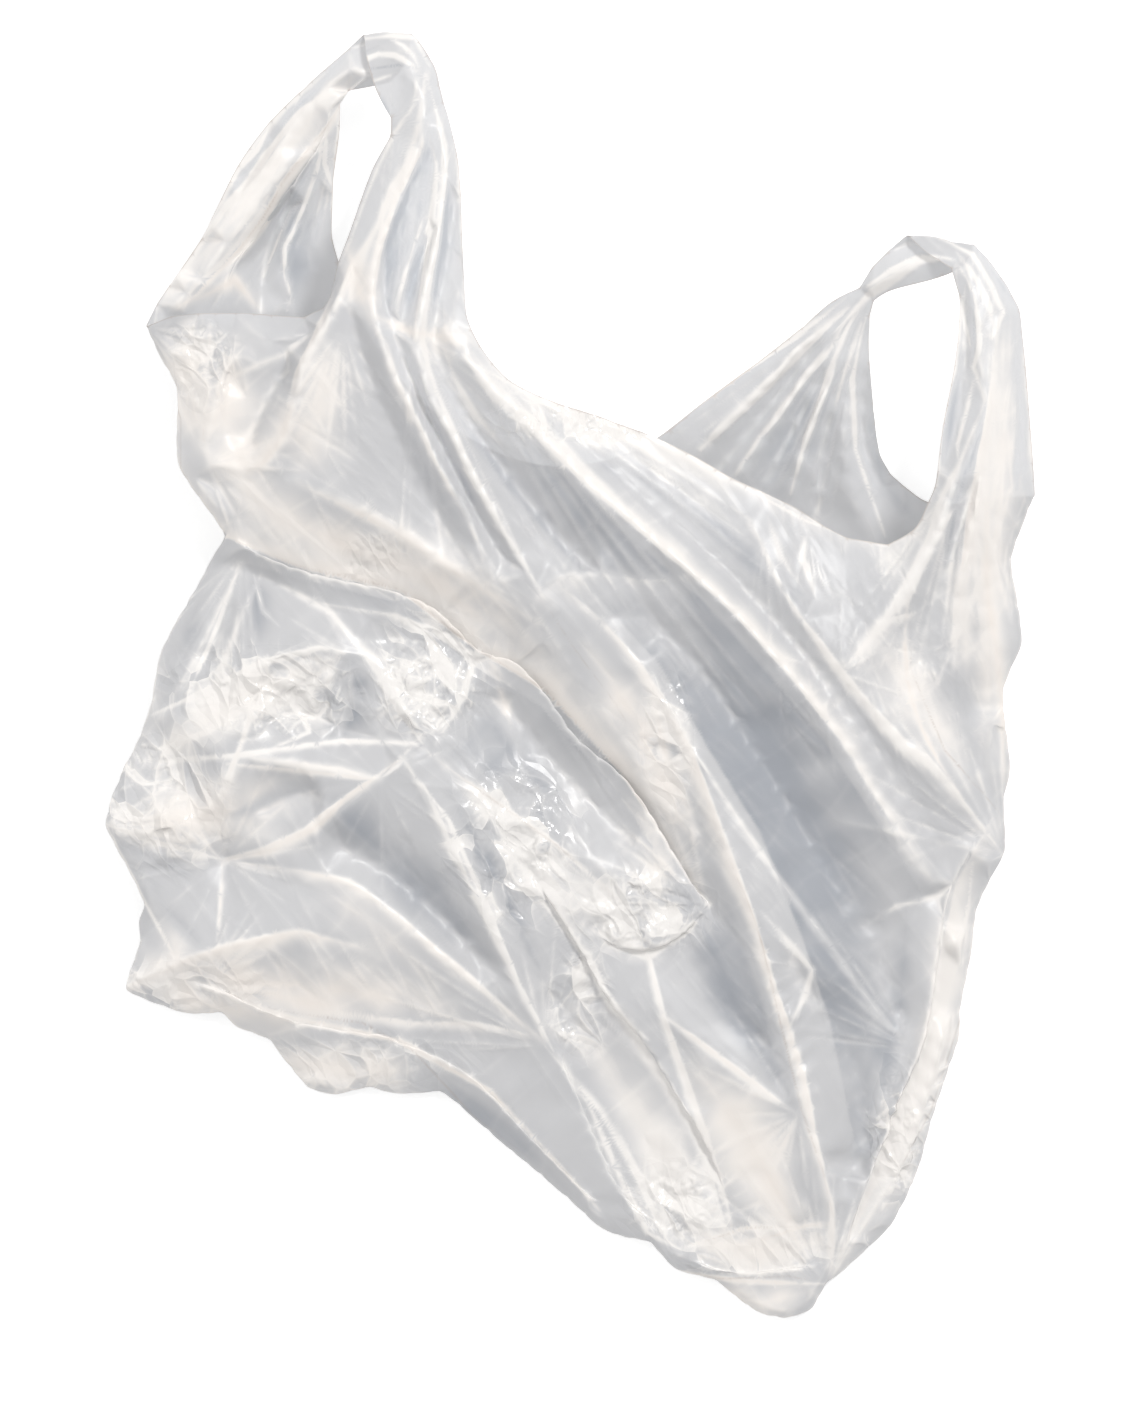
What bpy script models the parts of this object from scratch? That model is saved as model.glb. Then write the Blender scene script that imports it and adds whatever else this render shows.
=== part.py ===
"""A thin film carrier bag with two loop handles, lying crumpled on its back, as one sheet.

The bag is one tube of film, sealed along the bottom and at the top of each handle. It is laid out
here as two layers seen from above, the upper one and the lower one, which share their side and
bottom edges and the two handle seals. Each layer is drawn by its edge and its crease lines, and the
film is stretched between those lines. A shape like this comes from no primitive, so its faces are
made from the lines by triangulation and the thickness is then added by a modifier.
"""
import math

import bmesh
import bpy
import numpy
from mathutils import Vector, geometry

# Driving sizes of the bag, in metres
BAG_LENGTH = 0.480
FILM_THICKNESS = 0.0006
SIDE_FOLD_RISE = 0.0028
SIDE_FOLD_WIDTH = 0.0034

# Spacing of the film's points, in metres
UPPER_SPACING = 0.0078
LOWER_SPACING = 0.0086
FLAT_SPACING = 0.0230
CRUSHED_SPACING = 0.0054
EDGE_SPACING = 0.0074

# The drawing that the lines below are measured in: its units along the bag, and its middle
DRAWING_LENGTH = 1284.0
DRAWING_MIDDLE = (569.0, 677.0)
UNIT = BAG_LENGTH / DRAWING_LENGTH

# Heights are written in thousandths of a metre for a bag of 0.480 m, and grow with the bag
HEIGHT_UNIT = BAG_LENGTH / 480.0

# Small crumpling all over the film, in metres
FINE_CRUMPLE = 0.00045
CRUMPLE_SEED = 11

# Edges. Each point is (across, down, height): the first two in drawing units, then height units

# Side and bottom edge shared by both layers, from the left side round the bottom to the right side
SIDE_EDGE = [
    (147, 328, 16), (160, 358, 14), (177, 388, 14), (177, 430, 16), (178, 466, 18), (200, 500, 21),
    (226, 537, 20), (210, 560, 11), (185, 605, 9), (160, 652, 8), (155, 675, 9), (152, 700, 10),
    (140, 735, 8), (125, 765, 8), (112, 795, 9), (105, 825, 11), (112, 840, 10), (125, 865, 9),
    (145, 905, 9), (138, 920, 6), (140, 940, 6), (128, 975, 8), (125, 990, 7), (140, 998, 5),
    (165, 1008, 5), (185, 1014, 5), (205, 1015, 6), (222, 1012, 7), (235, 1027, 5), (270, 1040, 5),
    (280, 1055, 4), (300, 1080, 4), (310, 1090, 4), (335, 1096, 4), (370, 1087, 5), (390, 1094, 4),
    (415, 1095, 4), (440, 1091, 5), (475, 1120, 4), (500, 1142, 4), (540, 1175, 4), (565, 1197, 4),
    (600, 1229, 4), (620, 1237, 4), (650, 1242, 5), (660, 1255, 5), (675, 1270, 5), (700, 1277, 4),
    (715, 1280, 5), (735, 1297, 4), (760, 1314, 4), (790, 1319, 4), (812, 1310, 4), (827, 1283, 6),
    (850, 1265, 7), (870, 1247, 8), (890, 1227, 9), (900, 1210, 9), (910, 1190, 9), (920, 1165, 9),
    (932, 1120, 9), (950, 1065, 9), (960, 1035, 9), (960, 1010, 9), (972, 950, 10), (976, 910, 10),
    (990, 880, 11), (1004, 855, 12), (1006, 840, 12), (1003, 797, 13), (1011, 772, 13),
    (1008, 745, 13), (1002, 690, 15), (1010, 670, 15), (1022, 645, 15), (1020, 620, 16),
    (1015, 590, 16), (1010, 560, 17), (1022, 525, 19), (1033, 497, 21),
]

# The seals at the top of the two handles, where the upper layer turns over into the lower one
LEFT_SEAL = [(412, 37, 31), (395, 35, 31), (380, 35, 30), (365, 38, 29)]
RIGHT_SEAL = [(970, 247, 37), (950, 244, 37), (932, 238, 36), (905, 238, 35)]

# Upper layer: outside of the right handle, from the side edge to the seal
RIGHT_STRAP_OUTSIDE = [
    (1033, 497, 21), (1031, 465, 24), (1028, 430, 27), (1023, 370, 31), (1019, 335, 33),
    (1017, 313, 34), (1010, 300, 35), (1000, 282, 36), (985, 262, 37), (970, 247, 37),
]
# Upper layer: inside of the right handle, from the seal to the mouth
RIGHT_STRAP_INSIDE = [
    (905, 238, 35), (922, 256, 40), (948, 272, 42), (956, 300, 43), (956, 325, 43), (951, 370, 43),
    (940, 425, 43),
    (936, 455, 43), (932, 490, 43), (925, 503, 42),
]
# Upper layer: the front edge of the mouth, from the right handle to the left one
FRONT_MOUTH = [
    (925, 503, 42), (918, 522, 40), (910, 533, 39), (885, 546, 36), (870, 543, 35), (845, 539, 34),
    (820, 527, 36), (800, 512, 38), (785, 505, 40), (760, 493, 42), (730, 480, 43), (700, 462, 44),
    (655, 440, 46), (600, 420, 48), (540, 400, 51), (507, 384, 53), (480, 350, 55), (467, 320, 55),
]
# Upper layer: outside of the left handle, from the mouth to the seal
LEFT_STRAP_OUTSIDE = [
    (467, 320, 55), (463, 240, 50), (462, 200, 47), (458, 160, 44), (450, 125, 41), (440, 90, 38),
    (438, 75, 36), (420, 45, 32), (412, 37, 31),
]
# Upper layer: inside of the left handle and the edge of the side fold below it
LEFT_STRAP_INSIDE = [
    (365, 38, 29), (368, 62, 36), (378, 98, 37), (392, 122, 38), (392, 140, 38), (375, 170, 39),
    (362, 205, 40), (350, 240, 41), (340, 265, 40), (332, 300, 36), (325, 310, 31), (305, 319, 25), (255, 315, 21), (200, 315, 22),
    (173, 318, 22), (147, 328, 16),
]

# Lower layer: outside of the left handle, from the side edge to the seal
LEFT_BACK_OUTSIDE = [
    (147, 328, 16), (158, 305, 14), (183, 268, 12), (202, 240, 12), (222, 200, 13), (238, 168, 15),
    (250, 150, 16), (272, 122, 18), (300, 95, 21), (325, 73, 24), (350, 52, 27), (365, 38, 29),
]
# Lower layer: inside of the left handle, then the hidden back edge of the mouth, to the right seal
LEFT_BACK_INSIDE = [
    (412, 37, 31), (410, 62, 28), (390, 86, 27), (350, 94, 25), (341, 107, 23), (341, 130, 20), (337, 160, 17), (334, 180, 15),
    (333, 210, 12), (332, 240, 10), (340, 265, 8), (350, 300, 6), (375, 345, 4),
]
BACK_MOUTH = [
    (375, 345, 4), (410, 390, 3), (455, 430, 3), (510, 458, 3), (565, 468, 3), (615, 458, 4),
    (655, 440, 5), (700, 405, 7), (760, 360, 10), (800, 330, 14), (832, 301, 21), (858, 290, 27),
    (870, 270, 31), (885, 255, 33), (905, 238, 35),
]
# Lower layer: inside of the right handle, from the seal down, then under the upper layer
RIGHT_BACK_INSIDE = [
    (970, 247, 37), (966, 268, 33), (940, 280, 33), (912, 287, 32), (885, 293, 30), (872, 303, 28), (868, 318, 26), (867, 345, 24), (870, 385, 20),
    (874, 425, 17), (879, 457, 14), (890, 475, 12), (913, 494, 10), (925, 503, 10), (945, 505, 9),
    (970, 503, 9), (1000, 498, 14), (1033, 497, 21),
]

# Creases of the upper layer: ridges and the hollows between them
UPPER_CREASES = [
    # Left handle, inner band of the front strap, which runs down into the side fold
    [(392, 165, 45), (376, 215, 47), (348, 282, 48), (325, 330, 49), (303, 365, 48), (298, 400, 46),
     (285, 440, 42), (265, 465, 36), (245, 472, 30)],
    # Left handle, from the strap down the left of the front panel
    [(405, 60, 41), (424, 105, 47), (420, 150, 50), (404, 200, 51), (390, 232, 52), (378, 265, 53),
     (374, 300, 54), (378, 328, 56), (395, 380, 55), (418, 420, 54), (440, 470, 52), (460, 500, 50),
     (480, 545, 48), (496, 582, 46), (532, 625, 43), (572, 672, 41), (618, 735, 39), (652, 790, 37),
     (690, 838, 35)],
    # Left handle, middle pleat of the front strap
    [(443, 130, 48), (447, 180, 51), (440, 230, 53), (430, 280, 56), (420, 325, 58), (416, 350, 58),
     (430, 400, 57), (455, 440, 55), (480, 490, 53), (500, 525, 51), (537, 590, 48), (592, 650, 45),
     (636, 700, 43), (668, 760, 41), (688, 800, 39), (704, 836, 37)],
    # Left handle, small pleat between them
    [(431, 222, 50), (419, 250, 51), (404, 285, 52), (396, 312, 52)],
    # Left handle, hollows of the front strap and the panel below it
    [(424, 172, 46), (406, 218, 46), (390, 262, 47), (386, 300, 48), (396, 336, 51), (412, 380, 50),
     (445, 450, 47), (475, 510, 45), (505, 560, 43)],
    [(434, 236, 48), (423, 266, 48), (411, 302, 48), (404, 328, 50)],
    [(456, 205, 46), (450, 250, 48), (442, 300, 50), (436, 330, 52), (440, 366, 51), (466, 415, 46),
     (498, 462, 43), (540, 515, 40), (585, 565, 39)],
    [(362, 262, 46), (352, 310, 47), (362, 350, 46), (378, 395, 45), (400, 440, 43), (430, 500, 41),
     (455, 545, 40)],
    [(462, 250, 49), (458, 305, 54), (447, 335, 58)],
    # Left side fold and its web
    [(312, 335, 36), (270, 342, 31), (250, 345, 29), (235, 360, 29), (222, 385, 29), (208, 445, 27),
     (212, 466, 28)],
    [(318, 336, 38), (290, 352, 32), (262, 366, 31), (232, 380, 26)],
    [(292, 372, 29), (270, 400, 27), (250, 440, 24)],
    # Front panel, the long ridge from the left handle to the right side
    [(447, 338, 59), (480, 378, 60), (550, 450, 59), (600, 497, 58), (650, 540, 57), (700, 582, 55),
     (735, 615, 54), (780, 665, 52), (810, 700, 50), (840, 740, 47), (870, 790, 43), (900, 840, 38),
     (930, 880, 30)],
    [(500, 372, 55), (545, 420, 53), (600, 465, 51), (650, 508, 49), (700, 548, 46), (738, 585, 44),
     (790, 642, 42), (830, 692, 41), (868, 742, 38), (905, 800, 33), (940, 850, 27)],
    [(560, 575, 47), (600, 573, 48), (640, 582, 47), (690, 572, 51)],
    [(565, 590, 46), (600, 620, 47), (640, 665, 47), (690, 750, 46), (720, 830, 44), (750, 910, 41),
     (775, 990, 36), (800, 1060, 31), (818, 1150, 24), (834, 1215, 16), (832, 1256, 10)],
    [(650, 622, 40), (700, 670, 35), (760, 760, 30), (820, 860, 24), (870, 950, 18), (898, 1015, 13)],
    [(700, 760, 46), (725, 800, 43), (780, 880, 38), (830, 945, 31), (870, 1003, 23), (905, 1042, 17)],
    [(795, 972, 27), (830, 1030, 19), (862, 1100, 13), (858, 1170, 10)],
    [(812, 968, 35), (785, 1030, 33)],
    [(716, 868, 38), (738, 940, 33), (760, 1010, 28), (782, 1080, 24)],
    # Front panel, the ridge under the right handle
    [(752, 528, 47), (780, 590, 49), (800, 620, 49), (840, 672, 49), (870, 710, 47), (900, 740, 45),
     (930, 765, 41), (960, 800, 34), (985, 832, 23)],
    [(805, 535, 40), (800, 560, 43), (815, 600, 43)],
    [(868, 922, 19), (895, 905, 26), (935, 895, 22)],
    # Right handle, front strap
    [(942, 262, 44), (962, 276, 46), (972, 310, 48), (974, 360, 49), (982, 408, 50), (968, 450, 51),
     (950, 485, 51), (935, 535, 50), (900, 600, 47), (868, 640, 46), (842, 671, 48)],
    [(962, 318, 43), (962, 375, 43), (955, 420, 44), (944, 470, 45)],
    [(980, 272, 43), (996, 315, 46), (990, 350, 48), (990, 400, 49), (978, 450, 50), (974, 500, 50),
     (965, 550, 47), (955, 600, 43), (944, 650, 38), (934, 682, 36)],
    [(966, 500, 44), (952, 545, 42), (935, 600, 39), (925, 655, 35)],
    [(905, 620, 40), (903, 660, 37), (915, 720, 36), (938, 762, 37)],
    [(1006, 330, 40), (1004, 400, 41), (1001, 460, 41), (996, 520, 40), (985, 590, 37),
     (990, 645, 31), (992, 700, 26), (985, 770, 24)],
    [(1015, 400, 35), (1014, 450, 34), (1008, 520, 31)],
    # Left shoulder, above the overlap
    [(212, 466, 28), (250, 470, 32), (300, 485, 39), (370, 515, 42), (400, 535, 42), (450, 570, 43),
     (500, 600, 43), (545, 635, 42)],
    [(215, 485, 24), (240, 515, 26), (280, 545, 28), (320, 555, 30)],
    # Left lobe, under the overlap
    [(243, 565, 17), (215, 620, 19), (180, 690, 18)],
    [(262, 575, 20), (240, 625, 24), (215, 688, 24)],
    [(232, 600, 13), (205, 660, 13)],
    [(282, 585, 23), (330, 612, 29), (370, 655, 34), (395, 695, 35), (428, 745, 37)],
    [(168, 716, 18), (250, 670, 30), (310, 648, 34), (350, 655, 35), (330, 690, 29), (340, 740, 26)],
    [(168, 742, 16), (200, 738, 25), (245, 728, 32), (300, 712, 23), (360, 735, 26), (428, 745, 37)],
    [(385, 640, 28), (430, 632, 33), (470, 645, 33), (476, 680, 34), (462, 702, 35), (428, 745, 37)],
    [(122, 826, 14), (150, 830, 20), (180, 825, 23), (200, 845, 18), (225, 860, 13)],
    [(225, 860, 13), (220, 800, 27), (250, 757, 33), (272, 722, 27)],
    [(190, 790, 16), (160, 780, 14)],
    [(225, 860, 13), (270, 850, 24), (318, 825, 32), (345, 800, 35), (382, 778, 38)],
    [(250, 757, 33), (300, 765, 34), (340, 770, 36), (382, 778, 38)],
    [(270, 805, 22), (310, 792, 25)],
    [(382, 778, 38), (405, 760, 39), (430, 795, 38), (450, 840, 37), (470, 880, 35), (500, 945, 30),
     (520, 985, 25), (545, 1040, 17)],
    [(225, 860, 13), (300, 870, 27), (350, 880, 29), (400, 915, 29), (450, 960, 27), (480, 985, 23),
     (545, 1040, 17)],
    [(340, 845, 23), (400, 880, 22), (450, 925, 20), (480, 960, 18)],
    [(225, 860, 13), (225, 895, 16), (218, 930, 19)],
    [(175, 870, 14), (170, 920, 13)],
    [(145, 983, 11), (180, 962, 18), (230, 945, 24), (300, 930, 27), (360, 945, 25)],
    # Middle, between the overlap and the small flap
    [(435, 760, 37), (480, 795, 36), (520, 820, 35), (560, 845, 35), (625, 880, 34), (676, 892, 32)],
    [(505, 705, 26), (570, 780, 25), (625, 835, 26)],
    [(478, 790, 36), (500, 835, 33), (530, 872, 30)],
    # Lower middle
    [(648, 965, 28), (660, 1012, 28), (700, 1044, 27), (750, 1080, 27), (794, 1110, 25)],
    [(792, 1116, 25), (780, 1150, 20), (755, 1208, 13)],
    [(690, 940, 27), (720, 1000, 23), (760, 1040, 21)],
    [(660, 1020, 25), (680, 1060, 19), (690, 1105, 17)],
    [(560, 1000, 17), (600, 1060, 13), (640, 1130, 11), (675, 1190, 9)],
    [(700, 1240, 10), (760, 1238, 10), (800, 1226, 12)],
    # Right side fold, along its crest
    [(986, 862, 20), (971, 890, 22), (960, 925, 23), (952, 985, 23), (944, 1030, 22),
     (928, 1090, 20), (908, 1148, 17), (886, 1198, 14), (858, 1243, 11)],
]

# Creases of the lower layer, seen inside the left handle, in the mouth and as the right handle's fan
LOWER_CREASES = [
    # Back strap of the left handle, its outer line, its crest and the hollow outside it
    [(352, 72, 34), (328, 92, 31), (300, 120, 29), (280, 150, 27), (255, 185, 25), (226, 214, 23),
     (200, 246, 21), (178, 280, 20)],
    [(312, 104, 22), (284, 132, 19), (262, 162, 17), (240, 194, 14)],
    [(368, 80, 35), (345, 100, 32), (318, 128, 30), (290, 170, 28), (262, 205, 26), (228, 244, 25),
     (202, 280, 23), (176, 306, 20)],
    # Inside of the left handle
    [(326, 140, 21), (318, 175, 20), (307, 205, 18), (287, 245, 16), (284, 272, 15), (290, 305, 12),
     (300, 345, 8)],
    [(322, 200, 12), (310, 245, 9), (314, 300, 6)],
    [(288, 206, 12), (270, 242, 9), (262, 290, 8)],
    [(226, 292, 18), (206, 302, 18)],
    # Right handle, along the twist
    [(868, 290, 32), (888, 278, 35), (912, 268, 37), (936, 262, 37), (956, 256, 37)],
    # Right handle, its fan of pleats
    [(850, 305, 26), (830, 325, 23), (800, 350, 20), (760, 392, 16), (693, 458, 9), (660, 505, 4)],
    [(846, 320, 24), (832, 342, 22), (812, 368, 20), (790, 400, 17), (735, 480, 10), (705, 530, 3)],
    [(852, 325, 24), (840, 350, 23), (827, 385, 21), (811, 425, 18), (800, 455, 15), (788, 505, 9),
     (775, 560, 3)],
    [(861, 335, 23), (852, 370, 21), (845, 405, 18), (842, 450, 14), (852, 500, 10), (880, 555, 5)],
    [(812, 352, 14), (770, 405, 8), (715, 474, 3)],
    [(822, 375, 13), (796, 425, 6), (757, 500, 2)],
    [(838, 385, 15), (824, 435, 7), (815, 515, 2)],
    [(860, 385, 15), (864, 440, 9), (880, 490, 6)],
]

# Folds where the film lies over itself. Each is its upper line, how far the film under it drops in
# height units, how far it tucks back under the line in drawing units, and the side it falls to
UPPER_FOLDS = [
    ([(245, 547, 26), (275, 560, 30), (330, 577, 33), (385, 588, 35), (430, 603, 36), (455, 625, 37),
      (480, 651, 37), (515, 660, 37), (545, 690, 37), (580, 740, 36), (620, 770, 36), (650, 810, 35),
      (680, 862, 33), (705, 903, 31)], 8.0, 9.0, -1),
    ([(705, 903, 31), (690, 925, 30), (675, 942, 30), (648, 952, 29), (620, 948, 28),
      (600, 930, 29)], 5.0, 5.0, -1),
    ([(540, 885, 32), (565, 925, 30), (583, 955, 27), (605, 1000, 25), (645, 1045, 23), (665, 1080, 21),
      (700, 1135, 18), (725, 1190, 14)], 3.5, 4.0, 1),
    ([(214, 990, 15), (240, 998, 16), (280, 1015, 16), (320, 1025, 16), (370, 1032, 16),
      (400, 1040, 15), (450, 1060, 14), (490, 1090, 13), (520, 1125, 12), (560, 1165, 11),
      (596, 1205, 9)], 4.0, 5.0, -1),
    ([(556, 1050, 16), (585, 1110, 14), (600, 1145, 13), (620, 1190, 12), (648, 1222, 10)],
     3.5, 4.0, -1),
    ([(686, 1262, 10), (710, 1268, 10), (740, 1272, 10), (780, 1268, 10), (812, 1268, 10)],
     3.0, 3.0, -1),
    ([(968, 850, 27), (945, 900, 26), (936, 970, 25), (923, 1045, 24), (895, 1105, 22),
      (868, 1180, 18), (842, 1240, 13)], 6.0, 2.0, -1),
]
LOWER_FOLDS = [
    ([(328, 134, 28), (305, 170, 27), (280, 204, 26), (252, 244, 24), (234, 272, 21)], 8.0, 7.0, 1),
]

# Crumpled patches of the upper layer: middle and half-widths in drawing units, then height
CRUSHED_HEIGHT = 1.7
UPPER_CRUMPLES = [
    ((212, 358), (34, 30), 1.8), ((270, 690), (84, 34), 1.9), ((425, 690), (58, 46), 2.1),
    ((515, 845), (48, 62), 1.9), ((640, 912), (58, 32), 2.1), ((682, 1205), (42, 36), 1.8),
    ((893, 1130), (22, 50), 1.8), ((180, 800), (60, 60), 1.6), ((372, 558), (34, 24), 1.6),
    ((665, 740), (26, 54), 1.2), ((590, 425), (90, 14), 1.2), ((350, 1065), (90, 22), 1.0),
    ((185, 985), (60, 24), 1.2), ((740, 1245), (60, 26), 1.0),
]
LOWER_CRUMPLES = [
    ((290, 270), (50, 46), 1.2), ((800, 420), (110, 70), 0.8), ((290, 120), (60, 60), 0.8),
]

# The part of the lower layer that lies flat on the ground, inside the side edge and below the mouth
REST_AREA = [
    (225, 640), (330, 520), (470, 500), (640, 520), (780, 590), (900, 640), (950, 760),
    (930, 900), (905, 1050), (850, 1190), (790, 1262), (720, 1240), (600, 1160), (470, 1065),
    (330, 1030), (215, 970), (190, 840),
]


def film_material():
    """The milky see-through film."""
    material = bpy.data.materials.new("film")
    material.use_nodes = True
    shader = material.node_tree.nodes["Principled BSDF"]
    shader.inputs["Base Color"].default_value = (0.80, 0.81, 0.83, 1.0)
    shader.inputs["Roughness"].default_value = 0.30
    shader.inputs["Alpha"].default_value = 0.62
    return material


def fair_line(points, spacing):
    """A smooth line through the given points, with new points about one spacing apart."""
    step = spacing / UNIT
    line = []
    for index in range(len(points) - 1):
        before = numpy.array(points[max(index - 1, 0)], dtype=float)
        start = numpy.array(points[index], dtype=float)
        end = numpy.array(points[index + 1], dtype=float)
        after = numpy.array(points[min(index + 2, len(points) - 1)], dtype=float)
        length = math.hypot(end[0] - start[0], end[1] - start[1])
        pieces = max(1, int(round(length / step)))
        for piece in range(pieces):
            t = piece / pieces
            bend = (after - start) * 0.35 * (t ** 3 - t ** 2)
            lean = (end - before) * 0.35 * (t ** 3 - 2.0 * t ** 2 + t)
            blend = start * (2.0 * t ** 3 - 3.0 * t ** 2 + 1.0) + end * (3.0 * t ** 2 - 2.0 * t ** 3)
            line.append(tuple(blend + lean + bend))
    line.append(tuple(float(value) for value in points[-1]))
    return line


def join_lines(*lines):
    """One closed edge from lines that each start where the one before ends."""
    joined = []
    for line in lines:
        joined.extend(line[:-1])
    return joined


def side_normals(line, side):
    """The sideways direction at each point of a line, on the given side of it."""
    normals = []
    for index in range(len(line)):
        before = line[max(index - 1, 0)]
        after = line[min(index + 1, len(line) - 1)]
        run = Vector((after[0] - before[0], after[1] - before[1])).normalized()
        normals.append(Vector((-run.y, run.x)) * side)
    return normals


class Layer:
    """One layer of the film: its edge, the lines drawn on it, and the points between them."""

    def __init__(self, edge):
        self.places = []
        self.heights = []
        self.tucks = []
        self.lines = []
        self.edge = [(point[0], point[1]) for point in edge]
        for point in edge:
            self.add_place(point[0], point[1], point[2])
        self.edge_count = len(edge)

    def add_place(self, across, down, height, tuck=(0.0, 0.0)):
        """Add a point. A height of None means that the film is stretched to find it."""
        self.places.append(Vector((across, down)))
        self.heights.append(height)
        self.tucks.append(tuck)
        return len(self.places) - 1

    def nearest(self, place, reach, first=0):
        """The closest point already there within reach, or None."""
        best = None
        best_gap = reach
        for index in range(first, len(self.places)):
            gap = (self.places[index] - place).length
            if gap < best_gap:
                best = index
                best_gap = gap
        return best

    def is_inside(self, place, outline=None):
        """Whether a place lies inside the layer's edge, or inside another outline."""
        outline = outline or self.edge
        inside = False
        for index in range(len(outline)):
            x0, y0 = outline[index - 1]
            x1, y1 = outline[index]
            if (y0 > place.y) != (y1 > place.y):
                if place.x < (x1 - x0) * (place.y - y0) / (y1 - y0) + x0:
                    inside = not inside
        return inside

    def add_side_row(self, side_line, rise):
        """A row of points just inside the side edge, which opens the fold between the layers."""
        width = SIDE_FOLD_WIDTH / UNIT
        for point, normal in zip(side_line, side_normals(side_line, 1)):
            place = Vector((point[0], point[1])) + normal * width
            if not self.is_inside(place):
                place = Vector((point[0], point[1])) - normal * width
            if not self.is_inside(place):
                continue
            if self.nearest(place, width * 0.72) is not None:
                continue
            height = max(0.0, point[2] + rise)
            self.add_place(place.x, place.y, height)

    def add_crease(self, points, spacing, tucks=None):
        """Draw one line on the layer, joined to points that it meets."""
        last = None
        for index, point in enumerate(points):
            place = Vector((point[0], point[1]))
            if not self.is_inside(place):
                last = None
                continue
            if self.nearest(place, 7.5) is not None:
                near = self.nearest(place, 7.5)
                if near < self.edge_count:
                    last = None
                    continue
                current = near
            else:
                tuck = tucks[index] if tucks else (0.0, 0.0)
                current = self.add_place(place.x, place.y, point[2], tuck)
            if last is not None and last != current:
                self.lines.append((last, current))
            last = current

    def add_fold(self, points, drop, tuck, side, spacing):
        """Draw a fold: its upper line, and the line below it that the film turns back to."""
        line = fair_line(points, spacing)
        normals = side_normals(line, side)
        lower = []
        tucks = []
        for index, (point, normal) in enumerate(zip(line, normals)):
            end_gap = min(index, len(line) - 1 - index) / 3.0
            ease = min(1.0, 0.25 + end_gap)
            place = Vector((point[0], point[1])) + normal * 8.0
            lower.append((place.x, place.y, max(2.0, point[2] - drop * ease)))
            move = normal * -(8.0 + tuck) * ease
            tucks.append((move.x, move.y))
        self.add_crease(line, spacing)
        self.add_crease(lower, spacing, tucks)

    def fill(self, spacing, keep_flat=None, patches=None):
        """Points spread over the rest of the layer, or over some patches of it, in staggered rows."""
        generator = numpy.random.default_rng(CRUMPLE_SEED)
        step = spacing / UNIT
        drawn = numpy.array([(place.x, place.y) for place in self.places])
        row = 0
        down = 20.0
        while down < 1330.0:
            across = 90.0 + (step / 2.0 if row % 2 else 0.0)
            while across < 1045.0:
                jitter = generator.uniform(-0.16, 0.16, 2) * step
                place = Vector((across + jitter[0], down + jitter[1]))
                across += step
                if not self.is_inside(place):
                    continue
                flat = bool(keep_flat) and self.is_inside(place, keep_flat)
                if flat != (spacing == FLAT_SPACING):
                    continue
                if patches and min(patch_reach(place, patch) for patch in patches) > 1.0:
                    continue
                gaps = numpy.hypot(drawn[:, 0] - place.x, drawn[:, 1] - place.y)
                if gaps.min() < step * 0.62:
                    continue
                self.add_place(place.x, place.y, 0.0 if flat else None)
            down += step * 0.866
            row += 1

    def triangulate(self):
        """Join all the points into triangles that keep every drawn line."""
        border = list(range(self.edge_count))
        ring = [(index, (index + 1) % self.edge_count) for index in border]
        result = geometry.delaunay_2d_cdt(self.places, ring + self.lines, [border], 1, 0.01, True)
        places, _, faces, sources = result[0], result[1], result[2], result[3]
        heights = []
        tucks = []
        on_edge = []
        for source in sources:
            known = [index for index in source if self.heights[index] is not None]
            heights.append(self.heights[known[0]] if known else None)
            tucks.append(self.tucks[known[0]] if known else (0.0, 0.0))
            on_edge.append(any(index < self.edge_count for index in source))
        triangles = []
        for face in faces:
            middle = (places[face[0]] + places[face[1]] + places[face[2]]) / 3.0
            if len(face) == 3 and self.is_inside(middle):
                triangles.append(tuple(face))
        return places, triangles, heights, tucks, on_edge

    def build(self, crumples, facing_up):
        """The layer's points in metres and its triangles, with the film stretched over its lines."""
        places, triangles, heights, tucks, on_edge = self.triangulate()
        heights = stretch_film(heights, triangles, len(places))
        generator = numpy.random.default_rng(CRUMPLE_SEED + 1)
        points = []
        for index, place in enumerate(places):
            noise = generator.uniform(-1.0, 1.0)
            height = heights[index]
            if not on_edge[index] and height > 1.0:
                height += noise * crumple_height(place, crumples)
            across = (place.x + tucks[index][0] - DRAWING_MIDDLE[0]) * UNIT
            along = (DRAWING_MIDDLE[1] - place.y - tucks[index][1]) * UNIT
            points.append(Vector((across, along, height * HEIGHT_UNIT)))
        turned = []
        for a, b, c in triangles:
            flat = (points[b] - points[a]).cross(points[c] - points[a]).z
            drawn = (places[b] - places[a]).cross(places[c] - places[a])
            upward = drawn < 0.0 if drawn else flat > 0.0
            turned.append((a, b, c) if upward == facing_up else (a, c, b))
        return points, turned


def patch_reach(place, patch):
    """How far a place is from a patch's middle: 1 at the patch's rim."""
    middle, widths, _ = patch
    return math.hypot((place.x - middle[0]) / widths[0], (place.y - middle[1]) / widths[1])


def crumple_height(place, crumples):
    """How much the film is crumpled at a place, in height units."""
    amount = FINE_CRUMPLE / HEIGHT_UNIT
    for patch in crumples:
        amount = max(amount, patch[2] * max(0.0, min(1.0, 1.6 - patch_reach(place, patch))))
    return amount


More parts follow.
